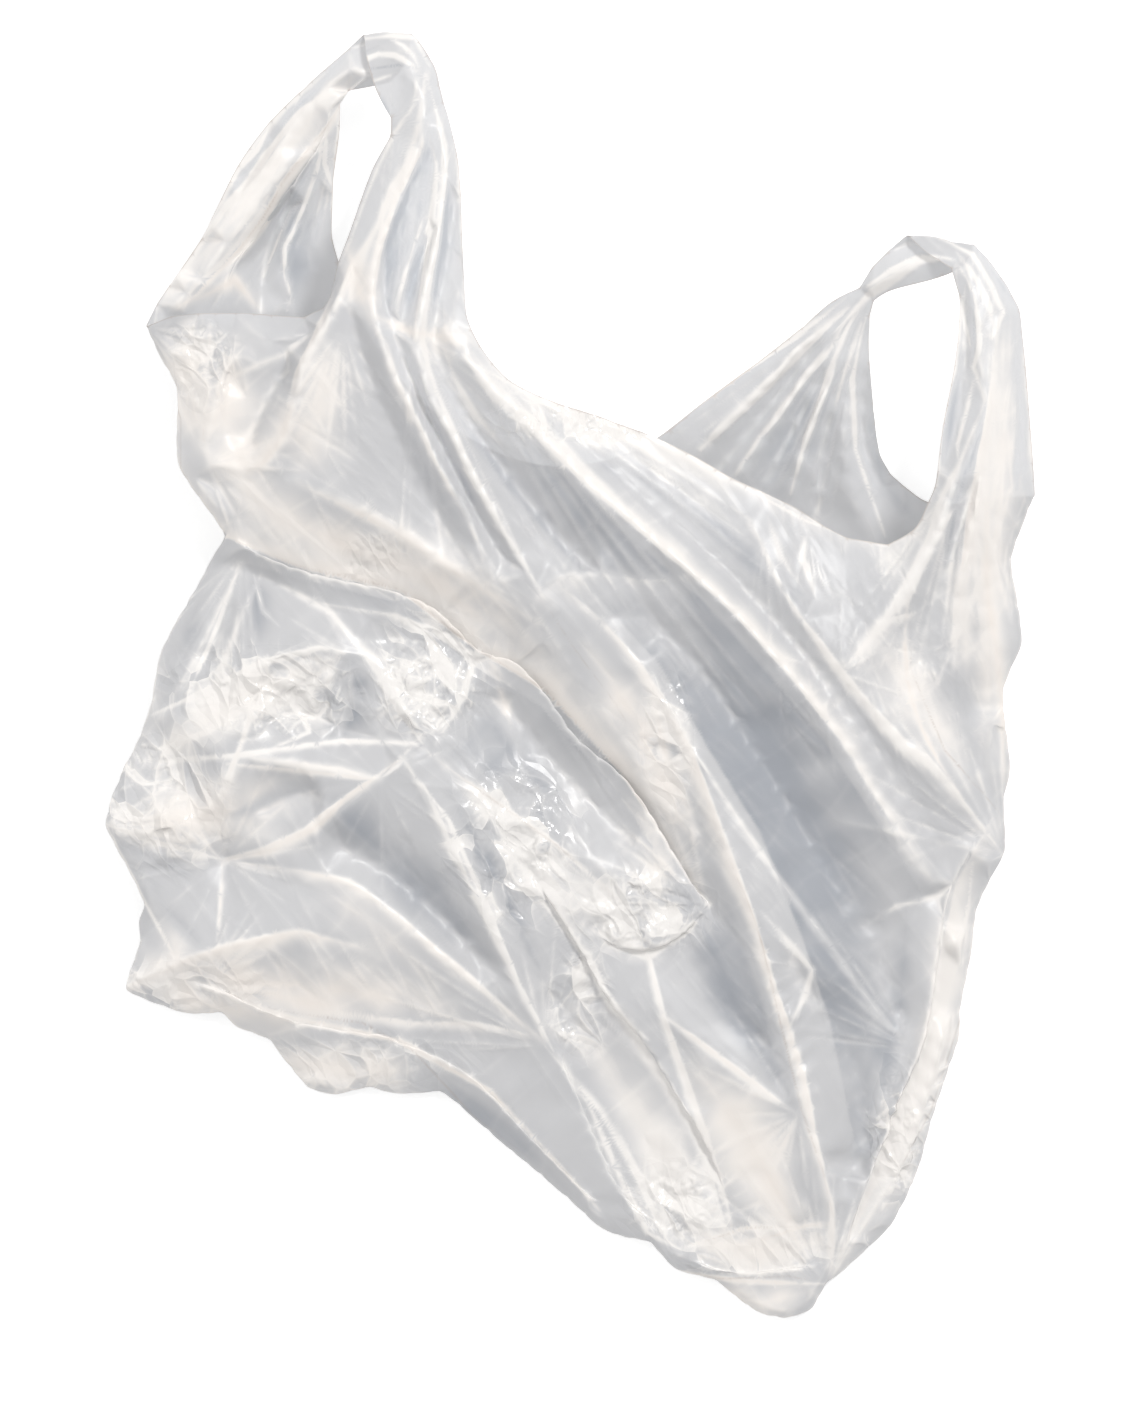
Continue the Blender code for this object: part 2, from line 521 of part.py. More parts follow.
def stretch_film(heights, triangles, count):
    """Heights of the free points when the film is drawn tight between the given ones."""
    free = [index for index in range(count) if heights[index] is None]
    order = {index: place for place, index in enumerate(free)}
    neighbours = [set() for _ in range(count)]
    for a, b, c in triangles:
        neighbours[a].update((b, c))
        neighbours[b].update((a, c))
        neighbours[c].update((a, b))
    matrix = numpy.zeros((len(free), len(free)))
    target = numpy.zeros(len(free))
    for index in free:
        row = order[index]
        matrix[row, row] = max(1, len(neighbours[index]))
        for other in neighbours[index]:
            if heights[other] is None:
                matrix[row, order[other]] -= 1.0
            else:
                target[row] += heights[other]
    solved = numpy.linalg.solve(matrix, target)
    return [solved[order[i]] if heights[i] is None else heights[i] for i in range(count)]


def upper_layer():
    """The upper layer: the front panel, the front straps and the left side fold."""
    side = fair_line(SIDE_EDGE, EDGE_SPACING)
    left_seal = fair_line(LEFT_SEAL, EDGE_SPACING)
    right_seal = fair_line(RIGHT_SEAL, EDGE_SPACING)
    edge = join_lines(
        side,
        fair_line(RIGHT_STRAP_OUTSIDE, EDGE_SPACING),
        right_seal,
        fair_line(RIGHT_STRAP_INSIDE, EDGE_SPACING),
        fair_line(FRONT_MOUTH, EDGE_SPACING),
        fair_line(LEFT_STRAP_OUTSIDE, EDGE_SPACING),
        left_seal,
        fair_line(LEFT_STRAP_INSIDE, EDGE_SPACING),
    )
    layer = Layer(edge)
    for shared in (side, left_seal, right_seal):
        layer.add_side_row(shared, SIDE_FOLD_RISE / HEIGHT_UNIT)
    for points, drop, tuck, side_turn in UPPER_FOLDS:
        layer.add_fold(points, drop, tuck, side_turn, UPPER_SPACING)
    for crease in UPPER_CREASES:
        layer.add_crease(fair_line(crease, UPPER_SPACING), UPPER_SPACING)
    crushed = [patch for patch in UPPER_CRUMPLES if patch[2] >= CRUSHED_HEIGHT]
    layer.fill(CRUSHED_SPACING, patches=crushed)
    layer.fill(UPPER_SPACING)
    return layer.build(UPPER_CRUMPLES, True)


def lower_layer():
    """The lower layer: the back panel, flat on the ground, and the back straps."""
    side = fair_line(SIDE_EDGE, EDGE_SPACING)
    side_back = list(reversed(side))
    left_seal = list(reversed(fair_line(LEFT_SEAL, EDGE_SPACING)))
    right_seal = list(reversed(fair_line(RIGHT_SEAL, EDGE_SPACING)))
    edge = join_lines(
        fair_line(LEFT_BACK_OUTSIDE, EDGE_SPACING),
        left_seal,
        fair_line(LEFT_BACK_INSIDE, EDGE_SPACING),
        fair_line(BACK_MOUTH, EDGE_SPACING),
        right_seal,
        fair_line(RIGHT_BACK_INSIDE, EDGE_SPACING),
        side_back,
    )
    layer = Layer(edge)
    for shared in (side, left_seal, right_seal):
        layer.add_side_row(shared, -SIDE_FOLD_RISE / HEIGHT_UNIT)
    for points, drop, tuck, side_turn in LOWER_FOLDS:
        layer.add_fold(points, drop, tuck, side_turn, LOWER_SPACING)
    for crease in LOWER_CREASES:
        layer.add_crease(fair_line(crease, LOWER_SPACING), LOWER_SPACING)
    layer.fill(FLAT_SPACING, REST_AREA)
    layer.fill(LOWER_SPACING, REST_AREA)
    return layer.build(LOWER_CRUMPLES, False)


def film_mesh():
    """Both layers joined along the side edge and the handle seals, centred on the ground."""
    sheet = bmesh.new()
    for points, triangles in (upper_layer(), lower_layer()):
        corners = [sheet.verts.new(point) for point in points]
        for a, b, c in triangles:
            sheet.faces.new((corners[a], corners[b], corners[c]))
    loose = [corner for corner in sheet.verts if not corner.link_faces]
    bmesh.ops.delete(sheet, geom=loose, context="VERTS")
    bmesh.ops.remove_doubles(sheet, verts=sheet.verts, dist=0.00005)
    low = [min(corner.co[axis] for corner in sheet.verts) for axis in range(3)]
    high = [max(corner.co[axis] for corner in sheet.verts) for axis in range(3)]
    shift = Vector((-(low[0] + high[0]) / 2.0, -(low[1] + high[1]) / 2.0, -low[2]))
    bmesh.ops.translate(sheet, verts=sheet.verts, vec=shift)
    mesh = bpy.data.meshes.new("carrier_bag")
    sheet.to_mesh(mesh)
    sheet.free()
    return mesh


def carrier_bag(collection):
    """The bag: the joined sheet with the film's thickness put on its inside."""
    bag = bpy.data.objects.new("carrier_bag", film_mesh())
    bag.data.materials.append(film_material())
    collection.objects.link(bag)
    thickness = bag.modifiers.new("film thickness", "SOLIDIFY")
    thickness.thickness = FILM_THICKNESS
    thickness.offset = -1.0
    thickness.use_rim = True
    return bag


def clear_scene():
    """Remove everything that a new scene starts with."""
    for item in list(bpy.data.objects):
        bpy.data.objects.remove(item)


def build():
    """Make the bag in its own collection."""
    clear_scene()
    collection = bpy.data.collections.new("plastic bag")
    bpy.context.scene.collection.children.link(collection)
    carrier_bag(collection)


build()
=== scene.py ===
"""Looks of a thin film carrier bag that lies crumpled on a white table, seen from above.

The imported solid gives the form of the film. One sheet is taken from the solid's outer side, made
finer, and given the small wrinkles, crumpled patches and creases of thin film.
"""
import logging
import math
from dataclasses import dataclass, field
from enum import Enum
from typing import Any, Optional

import bmesh
import bpy
import numpy as np
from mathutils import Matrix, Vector


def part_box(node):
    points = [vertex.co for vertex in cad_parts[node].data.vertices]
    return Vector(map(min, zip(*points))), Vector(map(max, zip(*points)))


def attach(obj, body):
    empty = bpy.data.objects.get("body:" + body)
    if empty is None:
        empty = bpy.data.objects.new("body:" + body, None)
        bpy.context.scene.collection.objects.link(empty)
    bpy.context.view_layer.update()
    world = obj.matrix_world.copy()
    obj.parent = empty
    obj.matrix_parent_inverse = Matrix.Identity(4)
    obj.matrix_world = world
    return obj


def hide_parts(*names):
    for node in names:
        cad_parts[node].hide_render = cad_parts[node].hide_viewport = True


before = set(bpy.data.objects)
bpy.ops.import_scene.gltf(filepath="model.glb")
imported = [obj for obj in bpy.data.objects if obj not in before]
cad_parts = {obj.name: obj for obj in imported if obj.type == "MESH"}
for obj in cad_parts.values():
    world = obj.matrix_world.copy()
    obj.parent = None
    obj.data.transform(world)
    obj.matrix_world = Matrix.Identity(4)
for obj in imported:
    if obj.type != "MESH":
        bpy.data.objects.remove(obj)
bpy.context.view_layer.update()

log = logging.getLogger("film_bag")

Colour = tuple[float, float, float]
Sizes = tuple[float, float, float]
Place = tuple[float, float]

# The lengthwise size of the drawing that all the wrinkle places are given in, and its middle
DRAWING_LENGTH = 1284.0
DRAWING_MIDDLE: Place = (569.0, 677.0)


class Layer(Enum):
    """Which layer of the lying bag a wrinkle is in."""

    UPPER = 1
    LOWER = -1


class Socket:
    """A node's output, or a number, that can be used in arithmetic."""

    def __init__(self, maker: "NodeMaker", source: Any) -> None:
        """Keep the maker and the socket or number.

        Args:
            maker: adds the nodes that the arithmetic needs.
            source: a node's output socket, or a number.
        """
        self.maker = maker
        self.source = source

    def _math(self, operation: str, *others: Any) -> "Socket":
        """Add one Math node.

        Args:
            operation: the node's operation.
            others: its further inputs, sockets or numbers.

        Returns:
            The result.
        """
        values = dict(enumerate([self, *others]))
        return self.maker.add("ShaderNodeMath", {"operation": operation}, values)

    def __add__(self, other: Any) -> "Socket":
        """Sum."""
        return self._math("ADD", other)

    def __radd__(self, other: Any) -> "Socket":
        """Sum, with the number first."""
        return self._math("ADD", other)

    def __sub__(self, other: Any) -> "Socket":
        """Difference."""
        return self._math("SUBTRACT", other)

    def __rsub__(self, other: Any) -> "Socket":
        """Difference, with the number first."""
        return Socket(self.maker, other)._math("SUBTRACT", self)

    def __mul__(self, other: Any) -> "Socket":
        """Product."""
        return self._math("MULTIPLY", other)

    def __rmul__(self, other: Any) -> "Socket":
        """Product, with the number first."""
        return self._math("MULTIPLY", other)

    def size(self) -> "Socket":
        """The value without its sign."""
        return self._math("ABSOLUTE")

    def clamped(self) -> "Socket":
        """The value held between 0 and 1."""
        return self._math("MINIMUM", 1.0)._math("MAXIMUM", 0.0)

    def remap(self, low: float, high: float, to_low: float, to_high: float) -> "Socket":
        """The value moved smoothly from one range to another.

        Args:
            low: start of the range read.
            high: end of the range read.
            to_low: what the start becomes.
            to_high: what the end becomes.

        Returns:
            The moved value.
        """
        values = {"Value": self, "From Min": low, "From Max": high, "To Min": to_low, "To Max": to_high}
        settings = {"interpolation_type": "SMOOTHSTEP"}
        return self.maker.add("ShaderNodeMapRange", settings, values, output="Result")


class NodeMaker:
    """Adds nodes to one material, or to the world."""

    def __init__(self, owner: Any) -> None:
        """Start with an empty node tree.

        Args:
            owner: the material or world.
        """
        self.owner = owner
        owner.use_nodes = True
        self.tree = owner.node_tree
        self.tree.nodes.clear()

    def add(
        self,
        kind: str,
        settings: Optional[dict[str, Any]] = None,
        inputs: Optional[dict[Any, Any]] = None,
        output: Any = 0,
    ) -> Socket:
        """Add one node.

        Args:
            kind: the node's type.
            settings: its properties, set first.
            inputs: values or links of its sockets.
            output: which output is given back, or None for a node that has none.

        Returns:
            The node's output.
        """
        node = self.tree.nodes.new(kind)
        for key, value in (settings or {}).items():
            setattr(node, key, value)
        for key, value in (inputs or {}).items():
            value = value.source if isinstance(value, Socket) else value
            if isinstance(value, bpy.types.NodeSocket):
                self.tree.links.new(value, node.inputs[key])
            else:
                node.inputs[key].default_value = value
        return Socket(self, None if output is None else node.outputs[output])

    def mix_colour(self, amount: Any, first: Any, second: Any) -> Socket:
        """Blend two colours.

        Args:
            amount: how much of the second there is.
            first: the first colour.
            second: the second colour.

        Returns:
            The blended colour.
        """
        first = (*first, 1.0) if isinstance(first, tuple) else first
        second = (*second, 1.0) if isinstance(second, tuple) else second
        inputs = {0: amount, 6: first, 7: second}
        return self.add("ShaderNodeMix", {"data_type": "RGBA"}, inputs, output=2)

    def noise(self, place: Socket, scale: float, detail: float) -> Socket:
        """Cloudy noise.

        Args:
            place: where on the surface.
            scale: how fine the noise is.
            detail: how many finer layers it has.

        Returns:
            The noise, about 0.5 on average.
        """
        inputs = {"Vector": place, "Scale": scale, "Detail": detail, "Roughness": 0.6}
        return self.add("ShaderNodeTexNoise", {}, inputs)

    def stretched(self, place: Socket, turn: float, stretch: Sizes) -> Socket:
        """Places in a turned frame that is longer one way.

        Args:
            place: where on the surface.
            turn: how far the frame is turned, in degrees.
            stretch: how much longer it is along each of its axes.

        Returns:
            The new places.
        """
        inputs = {"Vector": place, "Rotation": (0.0, 0.0, math.radians(turn)), "Scale": stretch}
        return self.add("ShaderNodeMapping", {"vector_type": "TEXTURE"}, inputs, "Vector")

    def attribute(self, name: str) -> Socket:
        """A value stored on the mesh's points."""
        return self.add("ShaderNodeAttribute", {"attribute_name": name}, output="Fac")

    def finish(self, surface: Socket, kind: str = "ShaderNodeOutputMaterial") -> Any:
        """Link the surface to the output.

        Args:
            surface: the shader.
            kind: the output node's type.

        Returns:
            The material or world.
        """
        self.add(kind, {}, {"Surface": surface}, output=None)
        return self.owner


@dataclass(frozen=True)
class FilmFinish:
    """Milky see-through film, grey-blue where it is single and white where it is creased or doubled; its tone
    also holds painted light and shade on its folds and crumpled shards.
    """

    deep: Colour = (0.425, 0.448, 0.495)
    cool: Colour = (0.672, 0.674, 0.692)
    white: Colour = (0.965, 0.94, 0.918)
    cream: Colour = (0.95, 0.885, 0.83)
    hidden: Colour = (0.80, 0.80, 0.80)
    rim: Colour = (0.50, 0.42, 0.37)
    clear: Colour = (0.94, 0.95, 0.97)
    single_cover: float = 0.80
    doubled_cover: float = 0.96
    ior: float = 1.5
    smooth_roughness: float = 0.38
    crumpled_roughness: float = 0.14
    relief_depth: float = 0.0007
    relief_strength: float = 0.5
    # Broad clouds in the tone
    cloud_scale: float = 14.0
    cloud_tone: float = 0.25
    # Fine veins along the pull of the film, and across it. Turns are in degrees
    pull_turn: float = -50.0
    pull_scale: float = 46.0
    pull_tone: float = 0.14
    pull_relief: float = 0.30
    cross_turn: float = 38.0
    cross_scale: float = 60.0
    cross_tone: float = 0.10
    vein_stretch: Sizes = (4.0, 1.0, 2.0)
    vein_thinness: float = 14.0
    # Long flat shards in the crumpled patches, each painted lighter or darker as if lit at its own tilt, with
    # painted highlights along the ridges between them, and the patches painted paler overall for their glints
    shard_scale: float = 145.0
    shard_turn: float = -55.0
    shard_stretch: Sizes = (2.2, 1.0, 1.0)
    shard_swirl: float = 1.8
    swirl_scale: float = 0.35
    shard_painted_shading: float = 1.5
    shard_relief: float = 7.0
    crease_thinness: float = 10.0
    crease_highlight_tone: float = 0.34
    crumpled_tone: float = 0.17

    def material(self) -> bpy.types.Material:
        """Build the film's material.

        Returns:
            The material.
        """
        maker = NodeMaker(bpy.data.materials.new("film"))
        place = maker.add("ShaderNodeTexCoord", output="Object")
        tone = maker.attribute("tone")
        warmth = maker.attribute("warmth")
        crumple = maker.attribute("crumple")
        edge = maker.attribute("rim")
        cloud = maker.noise(place, self.cloud_scale, 2.0)
        pull = self.veins(maker, place, self.pull_turn, self.pull_scale)
        cross = self.veins(maker, place, self.cross_turn, self.cross_scale)
        crushed, shade = self.shards(maker, place)
        # Painted highlights along the shard ridges, then painted light and shade on each shard
        creases = (1.0 - crushed * self.crease_thinness).clamped() * self.crease_highlight_tone
        level = tone + (cloud - 0.5) * self.cloud_tone + pull * self.pull_tone + cross * self.cross_tone
        level = level + crumple * (creases + (shade - 0.5) * self.shard_painted_shading + self.crumpled_tone)
        base = maker.mix_colour(level.remap(-1.0, 0.0, 0.0, 1.0), self.deep, self.cool)
        lit = maker.mix_colour(warmth, self.white, self.cream)
        body = maker.mix_colour(level.remap(0.05, 0.95, 0.0, 1.0), base, lit)
        colour = maker.mix_colour(edge.remap(0.15, 1.0, 0.0, 0.55), body, self.rim)
        cover = level.remap(-0.6, 0.8, self.single_cover, self.doubled_cover)
        relief = pull * self.pull_relief - crumple * crushed * self.shard_relief
        depth = {"Strength": self.relief_strength, "Distance": self.relief_depth, "Height": relief}
        bump = maker.add("ShaderNodeBump", {}, depth)
        gloss = crumple.remap(0.0, 0.8, self.smooth_roughness, self.crumpled_roughness)
        looks = {"Base Color": colour, "Roughness": gloss, "IOR": self.ior, "Normal": bump}
        skin = maker.add("ShaderNodeBsdfPrincipled", {}, looks)
        clear = maker.add("ShaderNodeBsdfTransparent", {}, {"Color": (*self.clear, 1.0)})
        film = maker.add("ShaderNodeMixShader", {}, {0: cover, 1: clear, 2: skin})
        choice = {0: self.indirect(maker), 1: film, 2: self.plain(maker)}
        return maker.finish(maker.add("ShaderNodeMixShader", {}, choice))

    def indirect(self, maker: NodeMaker) -> Socket:
        """Whether a ray only carries light or shadow, where the film's fine detail can't be seen.

        Args:
            maker: adds the nodes.

        Returns:
            1 for such a ray and 0 for the others.
        """
        shadow = maker.add("ShaderNodeLightPath", output="Is Shadow Ray")
        bounced = maker.add("ShaderNodeLightPath", output="Is Diffuse Ray")
        return (shadow + bounced).clamped()

    def plain(self, maker: NodeMaker) -> Socket:
        """The film without its detail.

        Args:
            maker: adds the nodes.

        Returns:
            The shader.
        """
        clear = maker.add("ShaderNodeBsdfTransparent", {}, {"Color": (*self.clear, 1.0)})
        milky = maker.add("ShaderNodeBsdfDiffuse", {}, {"Color": (*self.hidden, 1.0)})
        return maker.add("ShaderNodeMixShader", {}, {0: self.single_cover, 1: clear, 2: milky})

    def veins(self, maker: NodeMaker, place: Socket, turn: float, scale: float) -> Socket:
        """Thin lines that run mostly one way.

        Args:
            maker: adds the nodes.
            place: where on the film.
            turn: the way the lines run, in degrees.
            scale: how close they are.

        Returns:
            1 on a line and 0 away from it.
        """
        noise = maker.noise(maker.stretched(place, turn, self.vein_stretch), scale, 1.0)
        return (1.0 - (noise - 0.5).size() * self.vein_thinness).clamped()

    def shards(self, maker: NodeMaker, place: Socket) -> tuple[Socket, Socket]:
        """Small flat faces that meet in sharp ridges, as in crushed film.

        Args:
            maker: adds the nodes.
            place: where on the film.

        Returns:
            The distance from the nearest ridge, up to about 0.6, and the tone of each face, 0 to 1, which
            paints each face as lit or shaded.
        """
        waves = {"Vector": place, "Scale": self.shard_scale * self.swirl_scale, "Detail": 0.0}
        swirl = maker.add("ShaderNodeTexNoise", {}, waves, "Color")
        reach = (self.shard_swirl / self.shard_scale,) * 3
        shift = {0: swirl, 1: reach, 2: place}
        moved = maker.add("ShaderNodeVectorMath", {"operation": "MULTIPLY_ADD"}, shift)
        longer = maker.stretched(moved, self.shard_turn, self.shard_stretch)
        cells = {"Vector": longer, "Scale": self.shard_scale}
        height = maker.add("ShaderNodeTexVoronoi", {"feature": "DISTANCE_TO_EDGE"}, cells, "Distance")
        shade = maker.add("ShaderNodeTexVoronoi", {"feature": "F1"}, cells, "Color")
        return height, shade


@dataclass(frozen=True)
class TableFinish:
    """The plain white table top under the bag."""

    colour: Colour = (0.84, 0.84, 0.84)
    lift: float = 0.52

    def material(self) -> bpy.types.Material:
        """Build the table's material, which is white to the camera and keeps the bag's shadow.

        Returns:
            The material.
        """
        maker = NodeMaker(bpy.data.materials.new("table"))
        path = maker.add("ShaderNodeLightPath", output="Is Camera Ray")
        glossy = maker.add("ShaderNodeLightPath", output="Is Glossy Ray")
        through = maker.add("ShaderNodeLightPath", output="Is Transmission Ray")
        seen = (path + glossy + through).clamped()
        base = maker.add("ShaderNodeBsdfDiffuse", {}, {"Color": (*self.colour, 1.0)})
        white = {"Color": (1.0, 1.0, 1.0, 1.0), "Strength": seen * self.lift}
        glow = maker.add("ShaderNodeEmission", {}, white)
        return maker.finish(maker.add("ShaderNodeAddShader", {}, {0: base, 1: glow}))


# Wrinkles shorter than LONG_FROM drawing units have a fainter painted highlight along their crest
LONG_FROM = 60.0
SHORT_LIGHT = 0.25
# A patch of this height is fully crumpled
FULL_HEIGHT = 0.7
# The turn of the film's normal, per metre, that counts as a sharp bend
SHARP_BEND = 260.0
# A fan's wrinkles start this far from its pinch, and this share of them are ridges, the rest hollows
FAN_GAP = (2.0, 12.0)
FAN_RIDGES = 0.68
FAN_HOLLOW = -0.8
PATCH_RIDGES = 0.6
# How much of a wrinkle's or stroke's width and tone is left at its ends
WRINKLE_END_WIDTH = 0.45
STROKE_END_WIDTH = 0.6
STROKE_END_TONE = 0.35
# The share of a stroke's length that each end tapers over, and how steeply its sides fade
STROKE_TAPER = 0.3
STROKE_FADE = 1.3
# A stroke's tone is uneven along its length, in two waves of these lengths
UNEVEN_WAVES = (11.0, 27.0)
UNEVEN_SHARE = 0.16
# How far a pale stroke hides the dark ones under it
HIDING = 0.6


@dataclass(frozen=True)
class Wrinkle:
    """One straight ridge or hollow in the film, in drawing units."""

    start: Place
    end: Place
    width: float
    height: float
    layer: Layer
    # How strong the painted highlight along its crest is
    light: float = 1.0


@dataclass(frozen=True)
class Fan:
    """Wrinkles that spread from one pinch of the film."""

    origin: Place
    aim: float
    spread: float
    length: float
    count: int
    height: float = 0.9
    width: float = 11.0
    layer: Layer = Layer.UPPER

    def wrinkles(self, generator: np.random.Generator) -> list[Wrinkle]:
        """Draw the fan's wrinkles.

        Args:
            generator: where the small differences come from.

        Returns:
            The wrinkles.
        """
        made = []
        for index in range(self.count):
            share = (index + generator.uniform(0.2, 0.8)) / self.count - 0.5
            angle = math.radians(self.aim + self.spread * share)
            reach = self.length * generator.uniform(0.45, 1.0)
            gap = generator.uniform(*FAN_GAP)
            ray = (math.cos(angle), math.sin(angle))
            start = (self.origin[0] + ray[0] * gap, self.origin[1] + ray[1] * gap)
            end = (self.origin[0] + ray[0] * reach, self.origin[1] + ray[1] * reach)
            sign = 1.0 if generator.uniform() < FAN_RIDGES else FAN_HOLLOW
            width = self.width * generator.uniform(0.45, 1.1)
            height = self.height * sign * generator.uniform(0.6, 1.2)
            made.append(Wrinkle(start, end, width, height, self.layer))
        return made


@dataclass(frozen=True)
class Patch:
    """A crumpled patch of the film, in drawing units."""

    middle: Place
    reach: Place
    count: int
    height: float = 0.8
    length: float = 36.0
    width: float = 5.5
    aim: float = 0.0
    spread: float = 180.0
    layer: Layer = Layer.UPPER

    def wrinkles(self, generator: np.random.Generator) -> list[Wrinkle]:
        """Draw the patch's wrinkles.

        Args:
            generator: where the small differences come from.

        Returns:
            The wrinkles.
        """
        made = []
        for _ in range(self.count * 2):
            radius, turn = math.sqrt(generator.uniform()), generator.uniform(0.0, 2.0 * math.pi)
            across = self.middle[0] + self.reach[0] * radius * math.cos(turn)
            down = self.middle[1] + self.reach[1] * radius * math.sin(turn)
            angle = math.radians(self.aim + self.spread * generator.uniform(-0.5, 0.5))
            half = self.length * generator.uniform(0.3, 0.75) / 2.0
            ray = (half * math.cos(angle), half * math.sin(angle))
            start, end = (across - ray[0], down - ray[1]), (across + ray[0], down + ray[1])
            sign = 1.0 if generator.uniform() < PATCH_RIDGES else -1.0
            width = self.width * generator.uniform(0.6, 1.2)
            height = self.height * sign * generator.uniform(0.4, 1.0)
            light = SHORT_LIGHT if self.length < LONG_FROM else 1.0
            made.append(Wrinkle(start, end, width, height, self.layer, light))
        return made

    def amount(self, across: np.ndarray, down: np.ndarray) -> np.ndarray:
        """How crumpled the film is at each place.

        Args:
            across: places across the drawing.
            down: places down the drawing.

        Returns:
            From 0 outside the patch to 1 in its middle.
        """
        away = np.hypot((across - self.middle[0]) / self.reach[0], (down - self.middle[1]) / self.reach[1])
        return np.clip(1.5 - away, 0.0, 1.0) * min(self.height / FULL_HEIGHT, 1.0)


@dataclass(frozen=True)
class Band:
    """A stroke of lighter or darker film along a fold, in drawing units. Strokes paint doubled film paler,
    and they also paint light and shade: lit fold faces paler, shaded sides darker.

    A line is drawn down the bag, or across it from left to right. Its right side is then on the right
    of it, or above it.
    """

    points: tuple[Place, ...]
    right: float
    left: float
    tone: float
    warmth: float = 0.0
    layer: Layer = Layer.UPPER

    def amount(self, across: np.ndarray, down: np.ndarray) -> np.ndarray:
        """How strongly the stroke colours each place.

        Args:
            across: places across the drawing.
            down: places down the drawing.

        Returns:
            From 0 beyond the stroke to 1 on its line.
        """
        nearest = np.full(across.shape, 1e6)
        aside = np.zeros(across.shape)
        run_so_far = 0.0
        along = np.zeros(across.shape)
        for start, end in zip(self.points[:-1], self.points[1:]):
            run = (end[0] - start[0], end[1] - start[1])
            length = math.hypot(*run)
            ray = (run[0] / length, run[1] / length)
            offset = (across - start[0], down - start[1])
            share = np.clip(offset[0] * ray[0] + offset[1] * ray[1], 0.0, length)
            gap = np.hypot(offset[0] - share * ray[0], offset[1] - share * ray[1])
            side = offset[0] * ray[1] - offset[1] * ray[0]
            closer = gap < nearest
            nearest = np.where(closer, gap, nearest)
            aside = np.where(closer, np.sign(side), aside)
            along = np.where(closer, run_so_far + share, along)
            run_so_far += length
        taper = np.clip(np.minimum(along, run_so_far - along) / (STROKE_TAPER * run_so_far), 0.0, 1.0)
        width = np.where(aside > 0.0, self.right, self.left)
        width = width * (STROKE_END_WIDTH + (1.0 - STROKE_END_WIDTH) * taper)
        waves = [np.sin(along / length + shift) for length, shift in zip(UNEVEN_WAVES, self.points[0])]
        uneven = 1.0 - UNEVEN_SHARE + UNEVEN_SHARE * waves[0] * waves[1]
        strength = (STROKE_END_TONE + (1.0 - STROKE_END_TONE) * taper) * uneven
        return strength * np.clip(1.0 - nearest / width, 0.0, 1.0) ** STROKE_FADE
